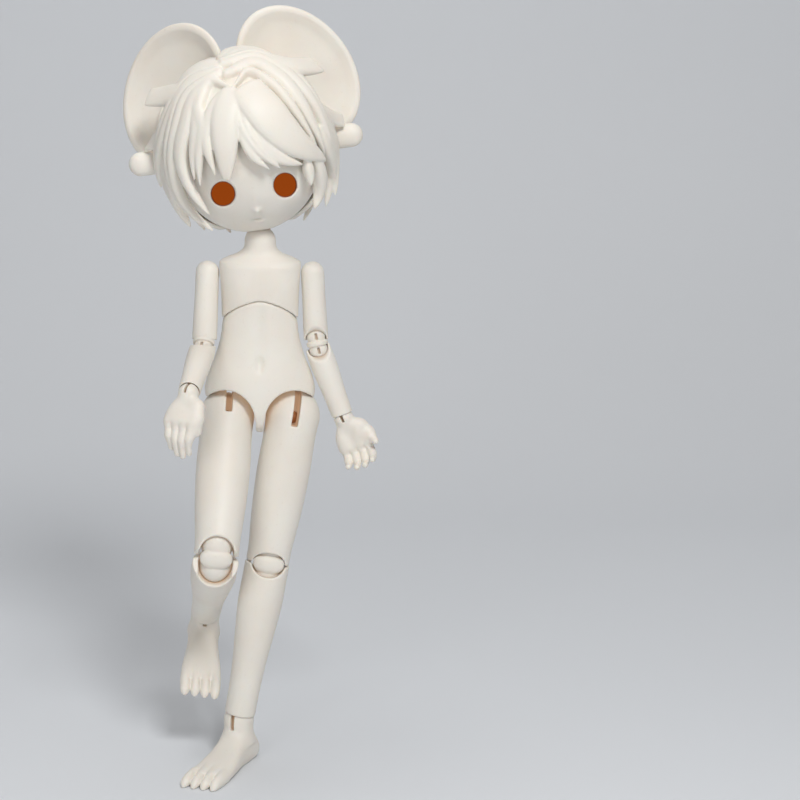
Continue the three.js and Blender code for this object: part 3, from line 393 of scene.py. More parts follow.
def foot_piece(side):
    def shape(p):
        x, y, z = p
        floor = -foot.ankle
        toe_base = foot.toe_length / 2 - foot.reach
        whole = runner(p, foot.heel, toe_base - foot.web, foot.half_width, foot.instep, floor,
                       foot_shares, foot.square)
        neck = loft(p, 0, floor / 2, ankle.radius, ankle.radius, ankle_shares, dome=ankle.radius)
        whole = join(whole, neck, foot.ankle_blend)
        spacing = 2 * (foot.half_width - foot.toe_half) / (foot.toes - 1)
        for toe in range(foot.toes):
            across = side * (toe * spacing - (foot.half_width - foot.toe_half))
            length = foot.toe_length * (foot.toe_share - foot.toe_step * toe)
            root = toe_base + foot.toe_length / 2
            one = runner(p, root, toe_base - length, foot.toe_half, foot.toe_height, floor,
                         toe_shares, 2, across)
            whole = join(whole, one, foot.toe_blend)
        # Tendon grooves run back from between the toes
        for valley in range(foot.toes - 1):
            across = side * ((valley + 0.5) * spacing - (foot.half_width - foot.toe_half))
            spot = (across, toe_base - foot.groove_reach, floor + foot.toe_height)
            whole = whole + foot.groove * bump(p, spot, foot.groove_half)
        solid = cut(whole, z - floor, foot.toe_blend)
        return cut(solid, hook_slots(p, ankle, [0]), slot_edge), -whole
    return shape


# Arms

upper_arm_shares = [(0, 1, 1), (0.3, 0.99, 1), (0.7, 1.03, 1.04), (1, 1.045, 1.05)]
forearm_shares = [(0, 0.94, 0.94), (0.15, 1, 1), (0.4, 0.98, 0.97), (0.7, 0.88, 0.87), (1, 0.82, 0.82)]
palm_shares = [
    (0, 1, 1), (0.15, 0.82, 1.02), (0.35, 0.66, 1.42, 0, 2.3), (0.6, 0.72, 1.76, 0, 2.4),
    (0.85, 0.74, 1.78, 0, 2.4), (1, 0.64, 1.62, 0, 2.4),
]
finger_length_shares = [0.9, 1, 0.96, 0.78]


def upper_arm(side):
    def shape(p):
        radius = shoulder.radius
        end = elbow.band - upper_arm_length
        whole = loft(p, 0, end, radius, radius, upper_arm_shares, dome=radius)
        elbow_top = elbow.spacing / 2 - upper_arm_length
        solid = cut(whole, socket(p, elbow.radius + gap, elbow_top, -1), fine_edge)
        fold = relief(turned_z(p, pose.upper_arm_turn[side]), elbow.inset, end, elbow.relief, -1, 1)
        solid = cut(solid, fold, fine_edge)
        solid = cut(solid, ball(p, shoulder.cavity))
        tall = (radius + shoulder.cavity) / 2
        centre = (-side * radius / 2, 0, tall - shoulder.cavity)
        slot = block(p, (radius / 2, shoulder.slot_width / 2, tall), centre)
        return cut(solid, slot, thin_edge), -whole
    return shape


def elbow_link(p):
    half = elbow.spacing / 2
    x, y, z = p
    drum = common(size_of(x, y) - elbow.drum, abs(z) - elbow.band + gap, elbow.drum_edge)
    whole = join(twin_ball(p, elbow.radius, half, elbow.waist), drum, fine_edge)
    solid = whole
    for height in (half, -half):
        sizes = (elbow.slot_width / 2, elbow.slot_depth / 2, elbow.slot_run / 2)
        solid = cut(solid, block(p, sizes, (0, elbow.slot_depth / 2 - elbow.radius, height)), thin_edge)
    return solid, -whole


def forearm_piece(p):
    end = wrist.rim - forearm.length
    whole = loft(p, -elbow.band, end, forearm.half_width, forearm.half_width, forearm_shares)
    solid = cut(whole, socket(p, elbow.radius + gap, -elbow.spacing / 2, 1), fine_edge)
    solid = cut(solid, relief(p, elbow.inset, -elbow.band, elbow.relief, -1, -1), fine_edge)
    return cut(solid, ball(p, wrist.radius + gap, (0, 0, -forearm.length)), fine_edge), -whole


def finger(p, length, radius, curl, side):
    """A tapering bar that starts straight down and curls towards the palm."""
    bend = math.radians(curl)
    reach = length / bend
    steps = 6
    angles = [bend * k / steps for k in range(steps + 1)]
    points = [Vector((-side * reach * (1 - math.cos(a)), 0, -reach * math.sin(a))) for a in angles]
    made = None
    for k in range(steps):
        a, b = points[k], points[k + 1]
        along = b - a
        rel = [p[i] - a[i] for i in range(3)]
        t = np.clip(sum(rel[i] * along[i] for i in range(3)) / along.length_squared, 0, 1)
        way = (k + t) / steps
        # Knuckles at the root, the middle and the tip, and a taper that sets in late
        knuckle = 0.1 * np.cos(way * 4 * math.pi)
        taper = 0.5 * way ** 2.5
        thick = radius * (1.06 + knuckle - taper)
        one = size_of(*(rel[i] - t * along[i] for i in range(3))) - thick
        made = one if made is None else np.minimum(made, one)
    return made


def hand_piece(side):
    def shape(p):
        curl = hand.curl[side]
        whole = loft(p, 0, -hand.palm, wrist.radius, wrist.radius, palm_shares,
                     dome=wrist.radius, rim=hand.rim)
        fingers = None
        for place, share in enumerate(finger_length_shares):
            from_middle = place - (len(finger_length_shares) - 1) / 2
            spot = Matrix.Translation((0, from_middle * hand.spacing, hand.finger_radius - hand.palm))
            spot = spot @ Matrix.Rotation(math.radians(-hand.fan[side] * from_middle), 4, "X")
            one = finger(seen_from(p, spot), hand.finger * share, hand.finger_radius, curl, side)
            fingers = one if fingers is None else join(fingers, one, thin_edge)
        whole = join(whole, fingers, hand.finger_blend)
        spot = Matrix.Translation((0, hand.thumb_radius - hand.palm_half, -hand.palm / 3))
        spot = spot @ Matrix.Rotation(math.radians(-hand.thumb_turn[side]), 4, "X")
        thumb = finger(seen_from(p, spot), hand.thumb, hand.thumb_radius, curl / 2, side)
        whole = join(whole, thumb, hand.thumb_blend)
        thumb_ball = (-0.8, (-side * 2, -3.5, -6.5), (2.4, 2.6, 3.6))
        little_finger_ball = (-0.5, (-side * 2, 4, -8), (2.4, 2, 4.5))
        hollow = (0.7, (-side * 2.6, 0.6, -8.5), (2, 2, 3.5))
        whole = whole + modelled(p, [thumb_ball, little_finger_ball, hollow])
        return cut(whole, hook_slots(p, wrist, [90, -90]), thin_edge), -whole
    return shape


# Head

def skull(p, grow=0.0):
    return egg(p, [h + grow for h in head.half])


def head_inside(p):
    x, y, z = p
    chin = -head.half[2]
    hole = np.maximum(size_of(x, y) - head.neck_hole, z)
    cup = ball(p, torso.neck_radius + gap, (0, 0, chin - head.neck_inset))
    return np.minimum(np.minimum(skull(p, -head.wall), hole), cup)


def lobe(p, side, grow=0.0):
    long, deep, tall = (h + grow for h in head.lobe_half)
    straight = long - tall
    x = np.maximum(abs(p[0] - side * head.lobe_side) - straight, 0)
    y = p[1] * tall / deep
    z = p[2] - head.lobe_rise
    return size_of(x, y, z) - tall


def eye_hole(p, side):
    x, y, z = p
    u = (x - side * head.eye_side) / head.eye_half[0]
    v = (z + head.eye_drop) / head.eye_half[1]
    inward = np.maximum(-skull(p), 0)
    return np.maximum((size_of(u, v) - 1) * head.eye_half[0] + head.eye_taper * inward, y)


nose = (-1.5, (0, -22, -head.nose_drop), (1.5, 6, 1.2))
bridge = (-0.5, (0, -24, -22), (2.4, 6, 4))
mouth = (1.1, (0, -17, -27.8), (2.3, 8, 0.6))
lower_lip = (-0.4, (0, -17, -29.6), (2.4, 8, 1.1))
cheeks = on_both_sides(-0.7, (17, -18, -22), (7, 9, 6))


def head_face(p):
    whole = skull(p) + modelled(p, [nose, bridge, mouth, lower_lip] + cheeks)
    for side in (LEFT, RIGHT):
        whole = join(whole, lobe(p, side), head.lobe_blend)
    solid = cut(whole, head_inside(p), fine_edge)
    solid = cut(solid, head.split - p[1], thin_edge)
    for side in (LEFT, RIGHT):
        solid = cut(solid, eye_hole(p, side), head.eye_edge)
    return solid, -whole


def head_cap(p):
    whole = skull(p)
    solid = cut(whole, head_inside(p), fine_edge)
    return cut(solid, p[1] - head.split - gap, thin_edge), -whole


# Mouse ear: shares of its radius and depth, from the middle of its back round the rim to the hollow
ear_shares = [
    (0, 0), (0.42, 0.05), (0.76, 0.28), (0.95, 0.62), (1, 0.84), (0.975, 0.98), (0.91, 1), (0.85, 0.86),
    (0.7, 0.56), (0.4, 0.34), (0, 0.28),
]


def ear_place(side):
    lean = Matrix.Rotation(math.radians(-side * mouse_ear.lean), 4, "Y")
    turn = Matrix.Rotation(math.radians(side * mouse_ear.turn[side]), 4, "Z")
    place = (side * mouse_ear.side[side], mouse_ear.back, mouse_ear.rise[side])
    return Matrix.Translation(place) @ turn @ lean


def ear_bowl(p, side, grow=0.0, forward=0.0):
    """The ear's distance field; the back lies on y = 0 of its own place and the hollow faces -y. It can
    be grown all round and moved forward, to make room for the ear."""
    x, y, z = seen_from(p, ear_place(side))
    width = mouse_ear.half_width + grow
    height = mouse_ear.half_height + grow
    radius = size_of(x / width, z / height) * width
    depth = (grow - forward) - y
    tall = mouse_ear.depth + 2 * grow
    points = [(r * width, d * tall) for r, d in rounded_outline(ear_shares)]
    nearest = np.full(np.broadcast(radius, depth).shape, np.inf)
    inside = np.zeros(nearest.shape, bool)
    for (r0, d0), (r1, d1) in zip(points, points[1:]):
        dr, dd = r1 - r0, d1 - d0
        t = np.clip(((radius - r0) * dr + (depth - d0) * dd) / (dr * dr + dd * dd), 0, 1)
        nearest = np.minimum(nearest, size_of(radius - r0 - t * dr, depth - d0 - t * dd))
        crosses = ((d0 > depth) != (d1 > depth))
        if dd:
            crosses = crosses & (radius < r0 + (depth - d0) * dr / dd)
        inside = inside ^ crosses
    return np.where(inside, -nearest, nearest)


def rounded_outline(shares, steps=4):
    """The outline with a smooth curve through its points."""
    knots = np.arange(len(shares))
    places = np.linspace(0, len(shares) - 1, (len(shares) - 1) * steps + 1)
    radii = smooth_curve(knots, [s[0] for s in shares], places)
    depths = smooth_curve(knots, [s[1] for s in shares], places)
    return list(zip(np.maximum(radii, 0), depths))


def mouse_ear_piece(side):
    def shape(p):
        whole = ear_bowl(p, side)
        return cut(whole, skull(p, gap), thin_edge), None
    return shape


# Hair: locks laid over the skull. A turn of 0 is the middle of the face, 90 the doll's left side, and a
# rise of 0 is level with the skull's centre.

leaf_ends = (0.2, 0.985)  # shares of half a wave that a lock's width follows from its root to its tip
thin_ends = (0.06, 0.985)
flick_ends = (0.2, 0.66)


def lock(places, width, thick=1.0, lift=0.05, over=0.0, grooves=0, ends=leaf_ends):
    """Turn and rise in degrees from root to tip, then width, thickness and the tip's lift as shares, and
    in millimetres how far the lock lies over the others."""
    return Sizes(places=places, width=width, thick=thick, lift=lift, over=over, grooves=grooves,
                 ends=ends)


front_locks = [
    # The fringe: a broad leaf on the left, one on the right, and what shows under them
    lock([(5, 32), (13, 19), (22, 6), (35, -5), (55, -14)], 1.2, 1.3, over=0.7, ends=(0.3, 0.985)),
    lock([(-2, 29), (-2, 16), (1, 5), (8, -6), (18, -15)], 0.42, 1.0, grooves=1),
    lock([(-4, 14), (-2, 3), (2, -7), (11, -15)], 0.3, 0.8),
    lock([(3, 10), (9, 0), (15, -7), (24, -12), (35, -15)], 0.42, 0.8),
    lock([(-7, 31), (-12, 19), (-14, 7), (-15, -5), (-17, -17)], 0.84, 1.2, over=0.4, ends=(0.28, 0.93)),
    lock([(-15, 31), (-22, 21), (-26, 9), (-26, -2), (-24, -14)], 0.4),
    # Strands from the parting down the doll's right side
    lock([(-5, 34), (-24, 42), (-32, 27), (-28, 13), (-33, -2), (-37, -19)], 0.42, 1.05, ends=thin_ends),
    lock([(-26, 39), (-32, 25), (-33, 12), (-37, -1), (-40, -15)], 0.4),
    lock([(-18, 46), (-35, 33), (-41, 16), (-48, -1), (-47, -19), (-40, -37)], 0.5, 1.15, 0.07),
    lock([(-18, 49), (-44, 37), (-52, 16), (-60, -6), (-63, -28), (-50, -49)], 0.68, 1.2, 0.08, grooves=1),
    lock([(-21, 52), (-46, 46), (-56, 31), (-65, 15), (-77, 0), (-88, -16)], 0.75, 1.1, 0.1, grooves=1),
    lock([(-57, 0), (-76, -19), (-86, -31), (-86, -44)], 0.5, 0.9, 0.1),
    lock([(-72, -2), (-82, -16), (-86, -28), (-86, -40)], 0.6, 0.9, 0.1),
    lock([(-17, 53), (-37, 57), (-52, 52), (-57, 43), (-61, 35)], 0.65, 0.85),
    lock([(-40, 41), (-54, 38), (-69, 35), (-81, 31)], 0.72, 1.0, 0.24, ends=flick_ends),
    lock([(-54, 23), (-68, 16), (-80, 9), (-88, 4)], 0.55, 0.8, 0.2),
    # Strands that sweep over the top and down the doll's left side, round the broad leaf
    lock([(-5, 34), (10, 45), (25, 34), (33, 20), (40, 6), (49, -8)], 0.32, 1.15, 0.04, ends=thin_ends),
    lock([(-9, 46), (19, 52), (35, 38), (42, 22), (48, 5), (56, -11)], 0.5, 1.2, 0.05),
    lock([(-14, 57), (25, 60), (45, 45), (54, 28), (60, 10), (65, -8)], 0.75, 1.2, 0.06, grooves=1),
    lock([(-17, 64), (4, 73), (29, 70), (43, 62), (50, 54)], 0.85, 0.7, grooves=1),
    lock([(25, 60), (42, 51), (60, 43), (82, 37)], 0.74, 1.1, 0.22, ends=flick_ends),
    lock([(57, 20), (66, 14), (77, 9), (85, 6)], 0.5, 0.9, 0.19, ends=flick_ends),
    lock([(58, 4), (63, -7), (78, -20), (85, -31)], 0.45, 0.9, 0.1),
    lock([(48, -12), (57, -23), (63, -35), (60, -44)], 0.42, 1.0, 0.08),
    lock([(61, 4), (78, -11), (85, -27), (85, -42)], 0.5, 0.9, 0.12),
    lock([(66, 9), (82, -6), (85, -20), (85, -34)], 0.55, 1.0, 0.16),
    lock([(41, -14), (43, -21), (44, -28)], 0.32, 0.8, 0.07),
]
back_locks = [
    lock([(100, 66), (106, 20), (104, -42)], 0.95, 1.0, 0.16, grooves=1),
    lock([(124, 74), (126, 20), (124, -52)], 1.0, 1.0, 0.12, grooves=2),
    lock([(148, 66), (148, 16), (144, -46)], 0.95, 1.0, 0.16, grooves=1),
    lock([(172, 76), (170, 20), (168, -54)], 1.0, 1.0, 0.12, grooves=2),
    lock([(194, 66), (192, 18), (188, -46)], 0.95, 1.0, 0.16, grooves=1),
    lock([(218, 76), (214, 20), (210, -54)], 1.0, 1.0, 0.12, grooves=2),
    lock([(240, 66), (236, 18), (232, -46)], 0.95, 1.0, 0.16, grooves=1),
    lock([(262, 70), (258, 20), (256, -48)], 0.95, 1.0, 0.16, grooves=1),
    lock([(136, 34), (138, 4), (134, -34)], 0.75, 0.9, 0.22),
    lock([(180, 34), (182, 4), (178, -32)], 0.75, 0.9, 0.22),
    lock([(224, 34), (222, 4), (218, -34)], 0.75, 0.9, 0.22),
]


def skull_points(turn, rise, lift):
    """Places over the skull, an array of rows; a lift of 1 lies on it."""
    turn, rise = np.radians(turn), np.radians(rise)
    flat = np.cos(rise)
    a, b, c = head.half
    rows = (a * flat * np.sin(turn), -b * flat * np.cos(turn), c * np.sin(rise))
    return np.stack(rows, axis=-1) * np.asarray(lift)[..., None]


def unit(rows):
    return rows / np.linalg.norm(rows, axis=-1, keepdims=True)


def fullness(t, ends):
    """How wide a lock is along its length: a narrow root, a full middle and a narrower tip."""
    first, last = ends
    return np.sin(math.pi * (first + (last - first) * t)) ** 0.8


def grooves_of(u, count):
    """1 on each of the lines along a lock, which share out its width."""
    lines = np.zeros(u.shape)
    for k in range(count):
        place = (2 * k + 1 - count) / (count + 1)
        lines = lines + np.exp(-((u - place) / hair.groove_half) ** 2)
    return lines


def add_lock(field, p, low, step, one):
    """Joins one lock to the field, in the part of the grid that it reaches."""
    stations = 22
    t = np.linspace(0, 1, stations)
    knots = np.linspace(0, 1, len(one.places))
    rest = 1 + (hair.thickness + one.over) / head.half[0]
    turn = smooth_curve(knots, [place[0] for place in one.places], t)
    rise = smooth_curve(knots, [place[1] for place in one.places], t)
    middle = skull_points(turn, rise, rest + one.lift * t ** 3)
    along = unit(np.gradient(middle, axis=0))
    across = unit(np.cross(along, middle))
    out = unit(np.cross(across, along))
    half_width = hair.half_width * one.width * fullness(t, one.ends)
    half_thick = hair.half_thick * one.thick * fullness(t, leaf_ends) ** 0.7
    reach = half_width.max() + 3 * step
    first = np.maximum(((middle.min(0) - reach - low) / step).astype(int), 0)
    last = ((middle.max(0) + reach - low) / step).astype(int) + 2
    window = tuple(slice(a, b) for a, b in zip(first, last))
    x, y, z = p[0][window[0]], p[1][:, window[1]], p[2][:, :, window[2]]
    best = None
    for k in range(stations - 1):
        a, run = middle[k], middle[k + 1] - middle[k]
        rel = (x - a[0], y - a[1], z - a[2])
        s = np.clip((rel[0] * run[0] + rel[1] * run[1] + rel[2] * run[2]) / (run @ run), 0, 1)
        far = sum((rel[i] - s * run[i]) ** 2 for i in range(3))
        if best is None:
            best, way = far, (k + s) / (stations - 1)
        else:
            nearer = far < best
            best = np.where(nearer, far, best)
            way = np.where(nearer, (k + s) / (stations - 1), way)
    def read(values):
        return np.interp(way, t, values)
    rel = [c - read(middle[:, i]) for i, c in enumerate((x, y, z))]
    u = sum(rel[i] * read(across[:, i]) for i in range(3)) / read(half_width)
    v = sum(rel[i] * read(out[:, i]) for i in range(3)) / read(half_thick)
    w = sum(rel[i] * read(along[:, i]) for i in range(3)) / read(half_thick)
    carve = hair.groove_depth * grooves_of(u, one.grooves) * np.clip(v + 0.3, 0, 1)
    near = (abs(u) ** 2.5 + (v * v + w * w) ** 1.25) ** 0.4
    lock_field = (near - 1 + carve) * read(np.minimum(half_width, half_thick))
    field[window] = join(field[window], lock_field, hair.blend)


def hair_piece(locks, front):
    def build(p, low, step):
        x, y, z = p
        cap = skull(p, hair.thickness)
        brow = -(head.half[1] + hair.thickness)
        slope = math.atan2(hair.brow + hair.nape, hair.temple - brow)
        opening = (z - hair.brow) * math.cos(slope) + (y - brow) * math.sin(slope)
        field = np.maximum(np.maximum(cap, -opening), -hair.nape - z).astype(np.float32)
        for one in locks:
            add_lock(field, p, low, step, one)
        field = cut(field, skull(p, hair.seat), thin_edge)
        for side in (LEFT, RIGHT):
            field = cut(field, lobe(p, side, gap), fine_edge)
            room = 2 * gap
            bowls = np.minimum(ear_bowl(p, side, room), ear_bowl(p, side, room, room))
            field = cut(field, bowls, fine_edge)
        split = y - hair.split if front else hair.split + gap - y
        return common(field, split, thin_edge)
    return build


# From fields to meshes

def grid(low, high, step):
    counts = [int(math.ceil((b - a) / step)) + 1 for a, b in zip(low, high)]
    axes = [(a + step * np.arange(n)).astype(np.float32) for a, n in zip(low, counts)]
    return axes[0][:, None, None], axes[1][None, :, None], axes[2][None, None, :]


def mesh_of(name, field, low, step, place, depth_at=None):
    """Meshes where the field is 0, and notes how deep each point lies under the outer skin."""
    deepest = 6
    volume = openvdb.FloatGrid(2 * step)
    volume.copyFromArray(np.clip(field, -2 * step, 2 * step).astype(np.float32))
    points, quads = volume.convertToQuads(0.0)
    points = points.astype(float) * step + np.asarray(low)
    corners = points[quads]
    normal = np.cross(corners[:, 2] - corners[:, 0], corners[:, 3] - corners[:, 1])
    if (corners.mean(1) * normal).sum() < 0:
        quads = quads[:, ::-1]
    turn = np.array(place.to_3x3())
    world = (points @ turn.T + np.array(place.translation)) * mm
    mesh = bpy.data.meshes.new(name)
    mesh.vertices.add(len(world))
    mesh.vertices.foreach_set("co", world.astype(np.float32).ravel())
    mesh.loops.add(quads.size)
    mesh.loops.foreach_set("vertex_index", quads.astype(np.int32).ravel())
    mesh.polygons.add(len(quads))
    mesh.polygons.foreach_set("loop_start", np.arange(0, quads.size, 4, dtype=np.int32))
    mesh.update(calc_edges=True)
    mesh.polygons.foreach_set("use_smooth", np.ones(len(quads), bool))
    hollow = np.zeros(len(points))
    if depth_at is not None:
        hollow = np.clip(depth_at(tuple(points.T)), 0, deepest)
    layer = mesh.attributes.new("hollow", "FLOAT", "POINT")
    layer.data.foreach_set("value", hollow.astype(np.float32))
    made = bpy.data.objects.new(name, mesh)
    bpy.context.scene.collection.objects.link(made)
    return made


# Materials

def node_material(name):
    made = bpy.data.materials.new(name)
    made.use_nodes = True
    nodes = made.node_tree.nodes
    nodes.clear()
    output = nodes.new("ShaderNodeOutputMaterial")
    shader = nodes.new("ShaderNodeBsdfPrincipled")
    made.node_tree.links.new(shader.outputs[0], output.inputs[0])
    return made, made.node_tree, shader


def noise_at(tree, scale, detail=3.0, roughness=0.5):
    place = tree.nodes.new("ShaderNodeTexCoord")
    noise = tree.nodes.new("ShaderNodeTexNoise")
    noise.inputs["Scale"].default_value = scale
    noise.inputs["Detail"].default_value = detail
    noise.inputs["Roughness"].default_value = roughness
    tree.links.new(place.outputs["Object"], noise.inputs["Vector"])
    return noise.outputs["Fac"]


def ramp_of(tree, value, stops):
    ramp = tree.nodes.new("ShaderNodeValToRGB")
    ramp.color_ramp.elements[0].position, ramp.color_ramp.elements[0].color = stops[0]
    ramp.color_ramp.elements[1].position, ramp.color_ramp.elements[1].color = stops[-1]
    for position, color in stops[1:-1]:
        ramp.color_ramp.elements.new(position).color = color
    tree.links.new(value, ramp.inputs["Fac"])
    return ramp.outputs["Color"]


def mixed(tree, factor, a, b):
    mix = tree.nodes.new("ShaderNodeMix")
    mix.data_type = "RGBA"
    tree.links.new(factor, mix.inputs["Factor"])
    for value, number in ((a, 6), (b, 7)):
        if isinstance(value, tuple):
            mix.inputs[number].default_value = value
        else:
            tree.links.new(value, mix.inputs[number])
    return mix.outputs[2]


def remapped(tree, value, low, high, to_low=0.0, to_high=1.0):
    place = tree.nodes.new("ShaderNodeMapRange")
    place.inputs["From Min"].default_value = low
    place.inputs["From Max"].default_value = high
    place.inputs["To Min"].default_value = to_low
    place.inputs["To Max"].default_value = to_high
    tree.links.new(value, place.inputs["Value"])
    return place.outputs["Result"]


def bumped(tree, shader, layers):
    last = None
    for value, distance, strength in layers:
        node = tree.nodes.new("ShaderNodeBump")
        node.inputs["Distance"].default_value = distance
        node.inputs["Strength"].default_value = strength
        tree.links.new(value, node.inputs["Height"])
        if last is not None:
            tree.links.new(last, node.inputs["Normal"])
        last = node.outputs["Normal"]
    tree.links.new(last, shader.inputs["Normal"])


def resin(name, pale, warm, inside, painted_glow, lit_depth=(1.4, 2.8)):
    """Cast resin: nearly even cream with faint warmer clouds and a fine skin. Its hollows carry painted
    shade: with depth under the outer skin the colour turns to the inside colour. From the lit depth on,
    they give off a painted glow as emission."""
    made, tree, shader = node_material(name)
    clouds = ramp_of(tree, noise_at(tree, 45, 4), [(0.35, pale), (0.65, warm)])
    specks = ramp_of(tree, noise_at(tree, 900, 2), [(0.2, (0.9, 0.88, 0.84, 1)), (0.36, (1, 1, 1, 1))])
    tint = tree.nodes.new("ShaderNodeMix")
    tint.data_type = "RGBA"
    tint.blend_type = "MULTIPLY"
    tint.inputs["Factor"].default_value = 0.5
    tree.links.new(clouds, tint.inputs[6])
    tree.links.new(specks, tint.inputs[7])
    depth = tree.nodes.new("ShaderNodeAttribute")
    depth.attribute_name = "hollow"
    # Painted shade: the base colour turns to the dark inside colour as the depth under the outer skin
    # grows, darkening slots, gaps and the head's inside
    shade_mix = remapped(tree, depth.outputs["Fac"], 0.4, 1.8)
    tree.links.new(mixed(tree, shade_mix, tint.outputs[2], inside), shader.inputs["Base Color"])
    # Painted glow: deep hollows give off the glow colour as emission, though they are no lamp
    lit = mixed(tree, remapped(tree, depth.outputs["Fac"], *lit_depth), (0, 0, 0, 1), painted_glow)
    tree.links.new(lit, shader.inputs["Emission Color"])
    shader.inputs["Emission Strength"].default_value = 1.0
    rough = remapped(tree, noise_at(tree, 160, 3), 0.3, 0.7, 0.44, 0.56)
    tree.links.new(rough, shader.inputs["Roughness"])
    shader.inputs["Specular IOR Level"].default_value = 0.4
    shader.inputs["Subsurface Weight"].default_value = 0.2
    shader.inputs["Subsurface Radius"].default_value = (1.0, 0.62, 0.4)
    shader.inputs["Subsurface Scale"].default_value = 1.6 * mm
    skin = (noise_at(tree, 1800, 2), 0.05 * mm, 0.25)
    waves = (noise_at(tree, 220, 3), 0.12 * mm, 0.2)
    bumped(tree, shader, [skin, waves])
    return made


def plain(name, color, metallic, rough_low, rough_high, scale):
    made, tree, shader = node_material(name)
    dark = tuple(0.8 * c for c in color[:3]) + (1,)
    cloudy = ramp_of(tree, noise_at(tree, scale, 3), [(0.3, dark), (0.6, color)])
    tree.links.new(cloudy, shader.inputs["Base Color"])
    rough = remapped(tree, noise_at(tree, 2 * scale, 2), 0.3, 0.7, rough_low, rough_high)
    tree.links.new(rough, shader.inputs["Roughness"])
    shader.inputs["Metallic"].default_value = metallic
    bumped(tree, shader, [(noise_at(tree, 3 * scale, 2), 0.03 * mm, 0.3)])
    return made


pale_cream = (0.845, 0.81, 0.74, 1)
warm_cream = (0.82, 0.768, 0.69, 1)
pale_wig = (0.87, 0.836, 0.76, 1)
warm_wig = (0.845, 0.795, 0.715, 1)
# The third and fourth colours are the painted shade of hollows and their painted glow; the wig's hair
# carries no depth, so neither shows on it
cast = resin("cast_resin", pale_cream, warm_cream, (0.58, 0.44, 0.32, 1), (0.19, 0.135, 0.09, 1))
# The head's shell: near black-brown painted shade inside and a red-orange painted glow, seen through the
# eye holes
shell = resin("head_resin", pale_cream, warm_cream, (0.16, 0.035, 0.006, 1), (0.23, 0.048, 0.005, 1),
              lit_depth=(2.2, 2.7))
wig = resin("wig_resin", pale_wig, warm_wig, (0.42, 0.24, 0.13, 1), (0, 0, 0, 1))
wire = plain("drawn_wire", (0.55, 0.55, 0.55, 1), 1.0, 0.25, 0.4, 900)
bead_skin = plain("bead_brown", (0.36, 0.15, 0.05, 1), 0.0, 0.5, 0.65, 700)


# The pose as a chain of frames, from the pelvis out

def moved(x, y, z):
    return Matrix.Translation((x, y, z))


def turned(swing=0, side=0, turn=0):
    return (Matrix.Rotation(math.radians(-swing), 4, "X") @ Matrix.Rotation(math.radians(-side), 4, "Y")
            @ Matrix.Rotation(math.radians(turn), 4, "Z"))


def leg_places(pelvis, side, foot_turn):
    thigh_place = pelvis @ moved(side * hip.side, 0, hip.rise) @ turned(*pose.hip[side])
    upper_turn, lower_turn = pose.knee[side]
    half = knee.spacing / 2
    upper = thigh_place @ moved(0, 0, half - thigh_length) @ turned(-upper_turn)
    lower = upper @ moved(0, 0, -knee.spacing) @ turned(-lower_turn)
    foot_place = lower @ moved(0, 0, half - shin.length) @ foot_turn
    return thigh_place, upper @ moved(0, 0, -half), lower @ moved(0, 0, half), foot_place


def arm_places(pelvis, side):
    upper = pelvis @ moved(side * shoulder.side, 0, shoulder.height) @ turned(*pose.shoulder[side])
    half = elbow.spacing / 2
    link = upper @ moved(0, 0, half - upper_arm_length) @ turned(*pose.elbow[side][0])
    lower = link @ moved(0, 0, -elbow.spacing) @ turned(*pose.elbow[side][1])
    hand_place = lower @ moved(0, 0, half - forearm.length) @ turned(*pose.hand[side])
    return upper, link @ moved(0, 0, -half), lower @ moved(0, 0, half), hand_place


standing = leg_places(Matrix(), LEFT, Matrix())
shin_turn = standing[2].to_3x3().to_4x4()
level_turn = shin_turn.inverted() @ Matrix.Rotation(math.radians(pose.standing_foot_turn), 4, "Z")
ankle_spot = standing[3].translation
pelvis = moved(-ankle_spot.x, -ankle_spot.y, foot.ankle - ankle_spot.z)
neck_place = pelvis @ moved(0, 0, torso.neck) @ turned(*pose.head)
head_place = neck_place @ moved(0, 0, head.neck_inset + head.half[2])


def finished(piece, node, body, material):
    piece.data.materials.append(material)
    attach(piece, body)
    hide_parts(node)
    return piece


def moulded(node, body, shape, low, high, step, place, material=cast):
    """One cast piece in place of a CAD node, worked out between the corners low and high."""
    field, depth = shape(grid(low, high, step))
    depth_at = None if depth is None else (lambda p: shape(p)[1])
    piece = mesh_of(node + "_cast", field, low, step, place, depth_at)
    return finished(piece, node, body, material)


moulded("lower_torso", "pelvis", lower_torso, (-24, -15, -8), (24, 15, 51), cell.body, pelvis)
moulded("chest", "chest", chest, (-19, -14, 33), (19, 14, 78), cell.body, pelvis)
for label, side in (("left", LEFT), ("right", RIGHT)):
    foot_turn = level_turn if side == LEFT else turned(*pose.raised_foot)
    thigh_at, link_at, shin_at, foot_at = leg_places(pelvis, side, foot_turn)
    upper_at, elbow_at, forearm_at, hand_at = arm_places(pelvis, side)
    limbs = [
        ("thigh", thigh, (-12, -14, -60.5), (12, 14, 13.5), cell.limb, thigh_at),
        ("knee_link", knee_link, (-8, -8, -13), (8, 8, 13), cell.small, link_at),
        ("shin", shin_piece, (-11, -12, -65.5), (11, 12, 2), cell.limb, shin_at),
        ("foot", foot_piece(side), (-10.5, -38, -19), (10.5, 13.5, 8), cell.small, foot_at),
        ("upper_arm", upper_arm(side), (-7, -7, -29), (7, 7, 6.5), cell.small, upper_at),
        ("elbow_link", elbow_link, (-5, -5, -8), (5, 5, 8), cell.small, elbow_at),
        ("forearm", forearm_piece, (-7, -7, -33), (7, 7, 1), cell.small, forearm_at),
        ("hand", hand_piece(side), (-15, -17, -30), (15, 13, 5.5), cell.small, hand_at),
    ]
    for name, shape, low, high, step, place in limbs:
        node = f"{name}_{label}"
        moulded(node, node, shape, low, high, step, place)

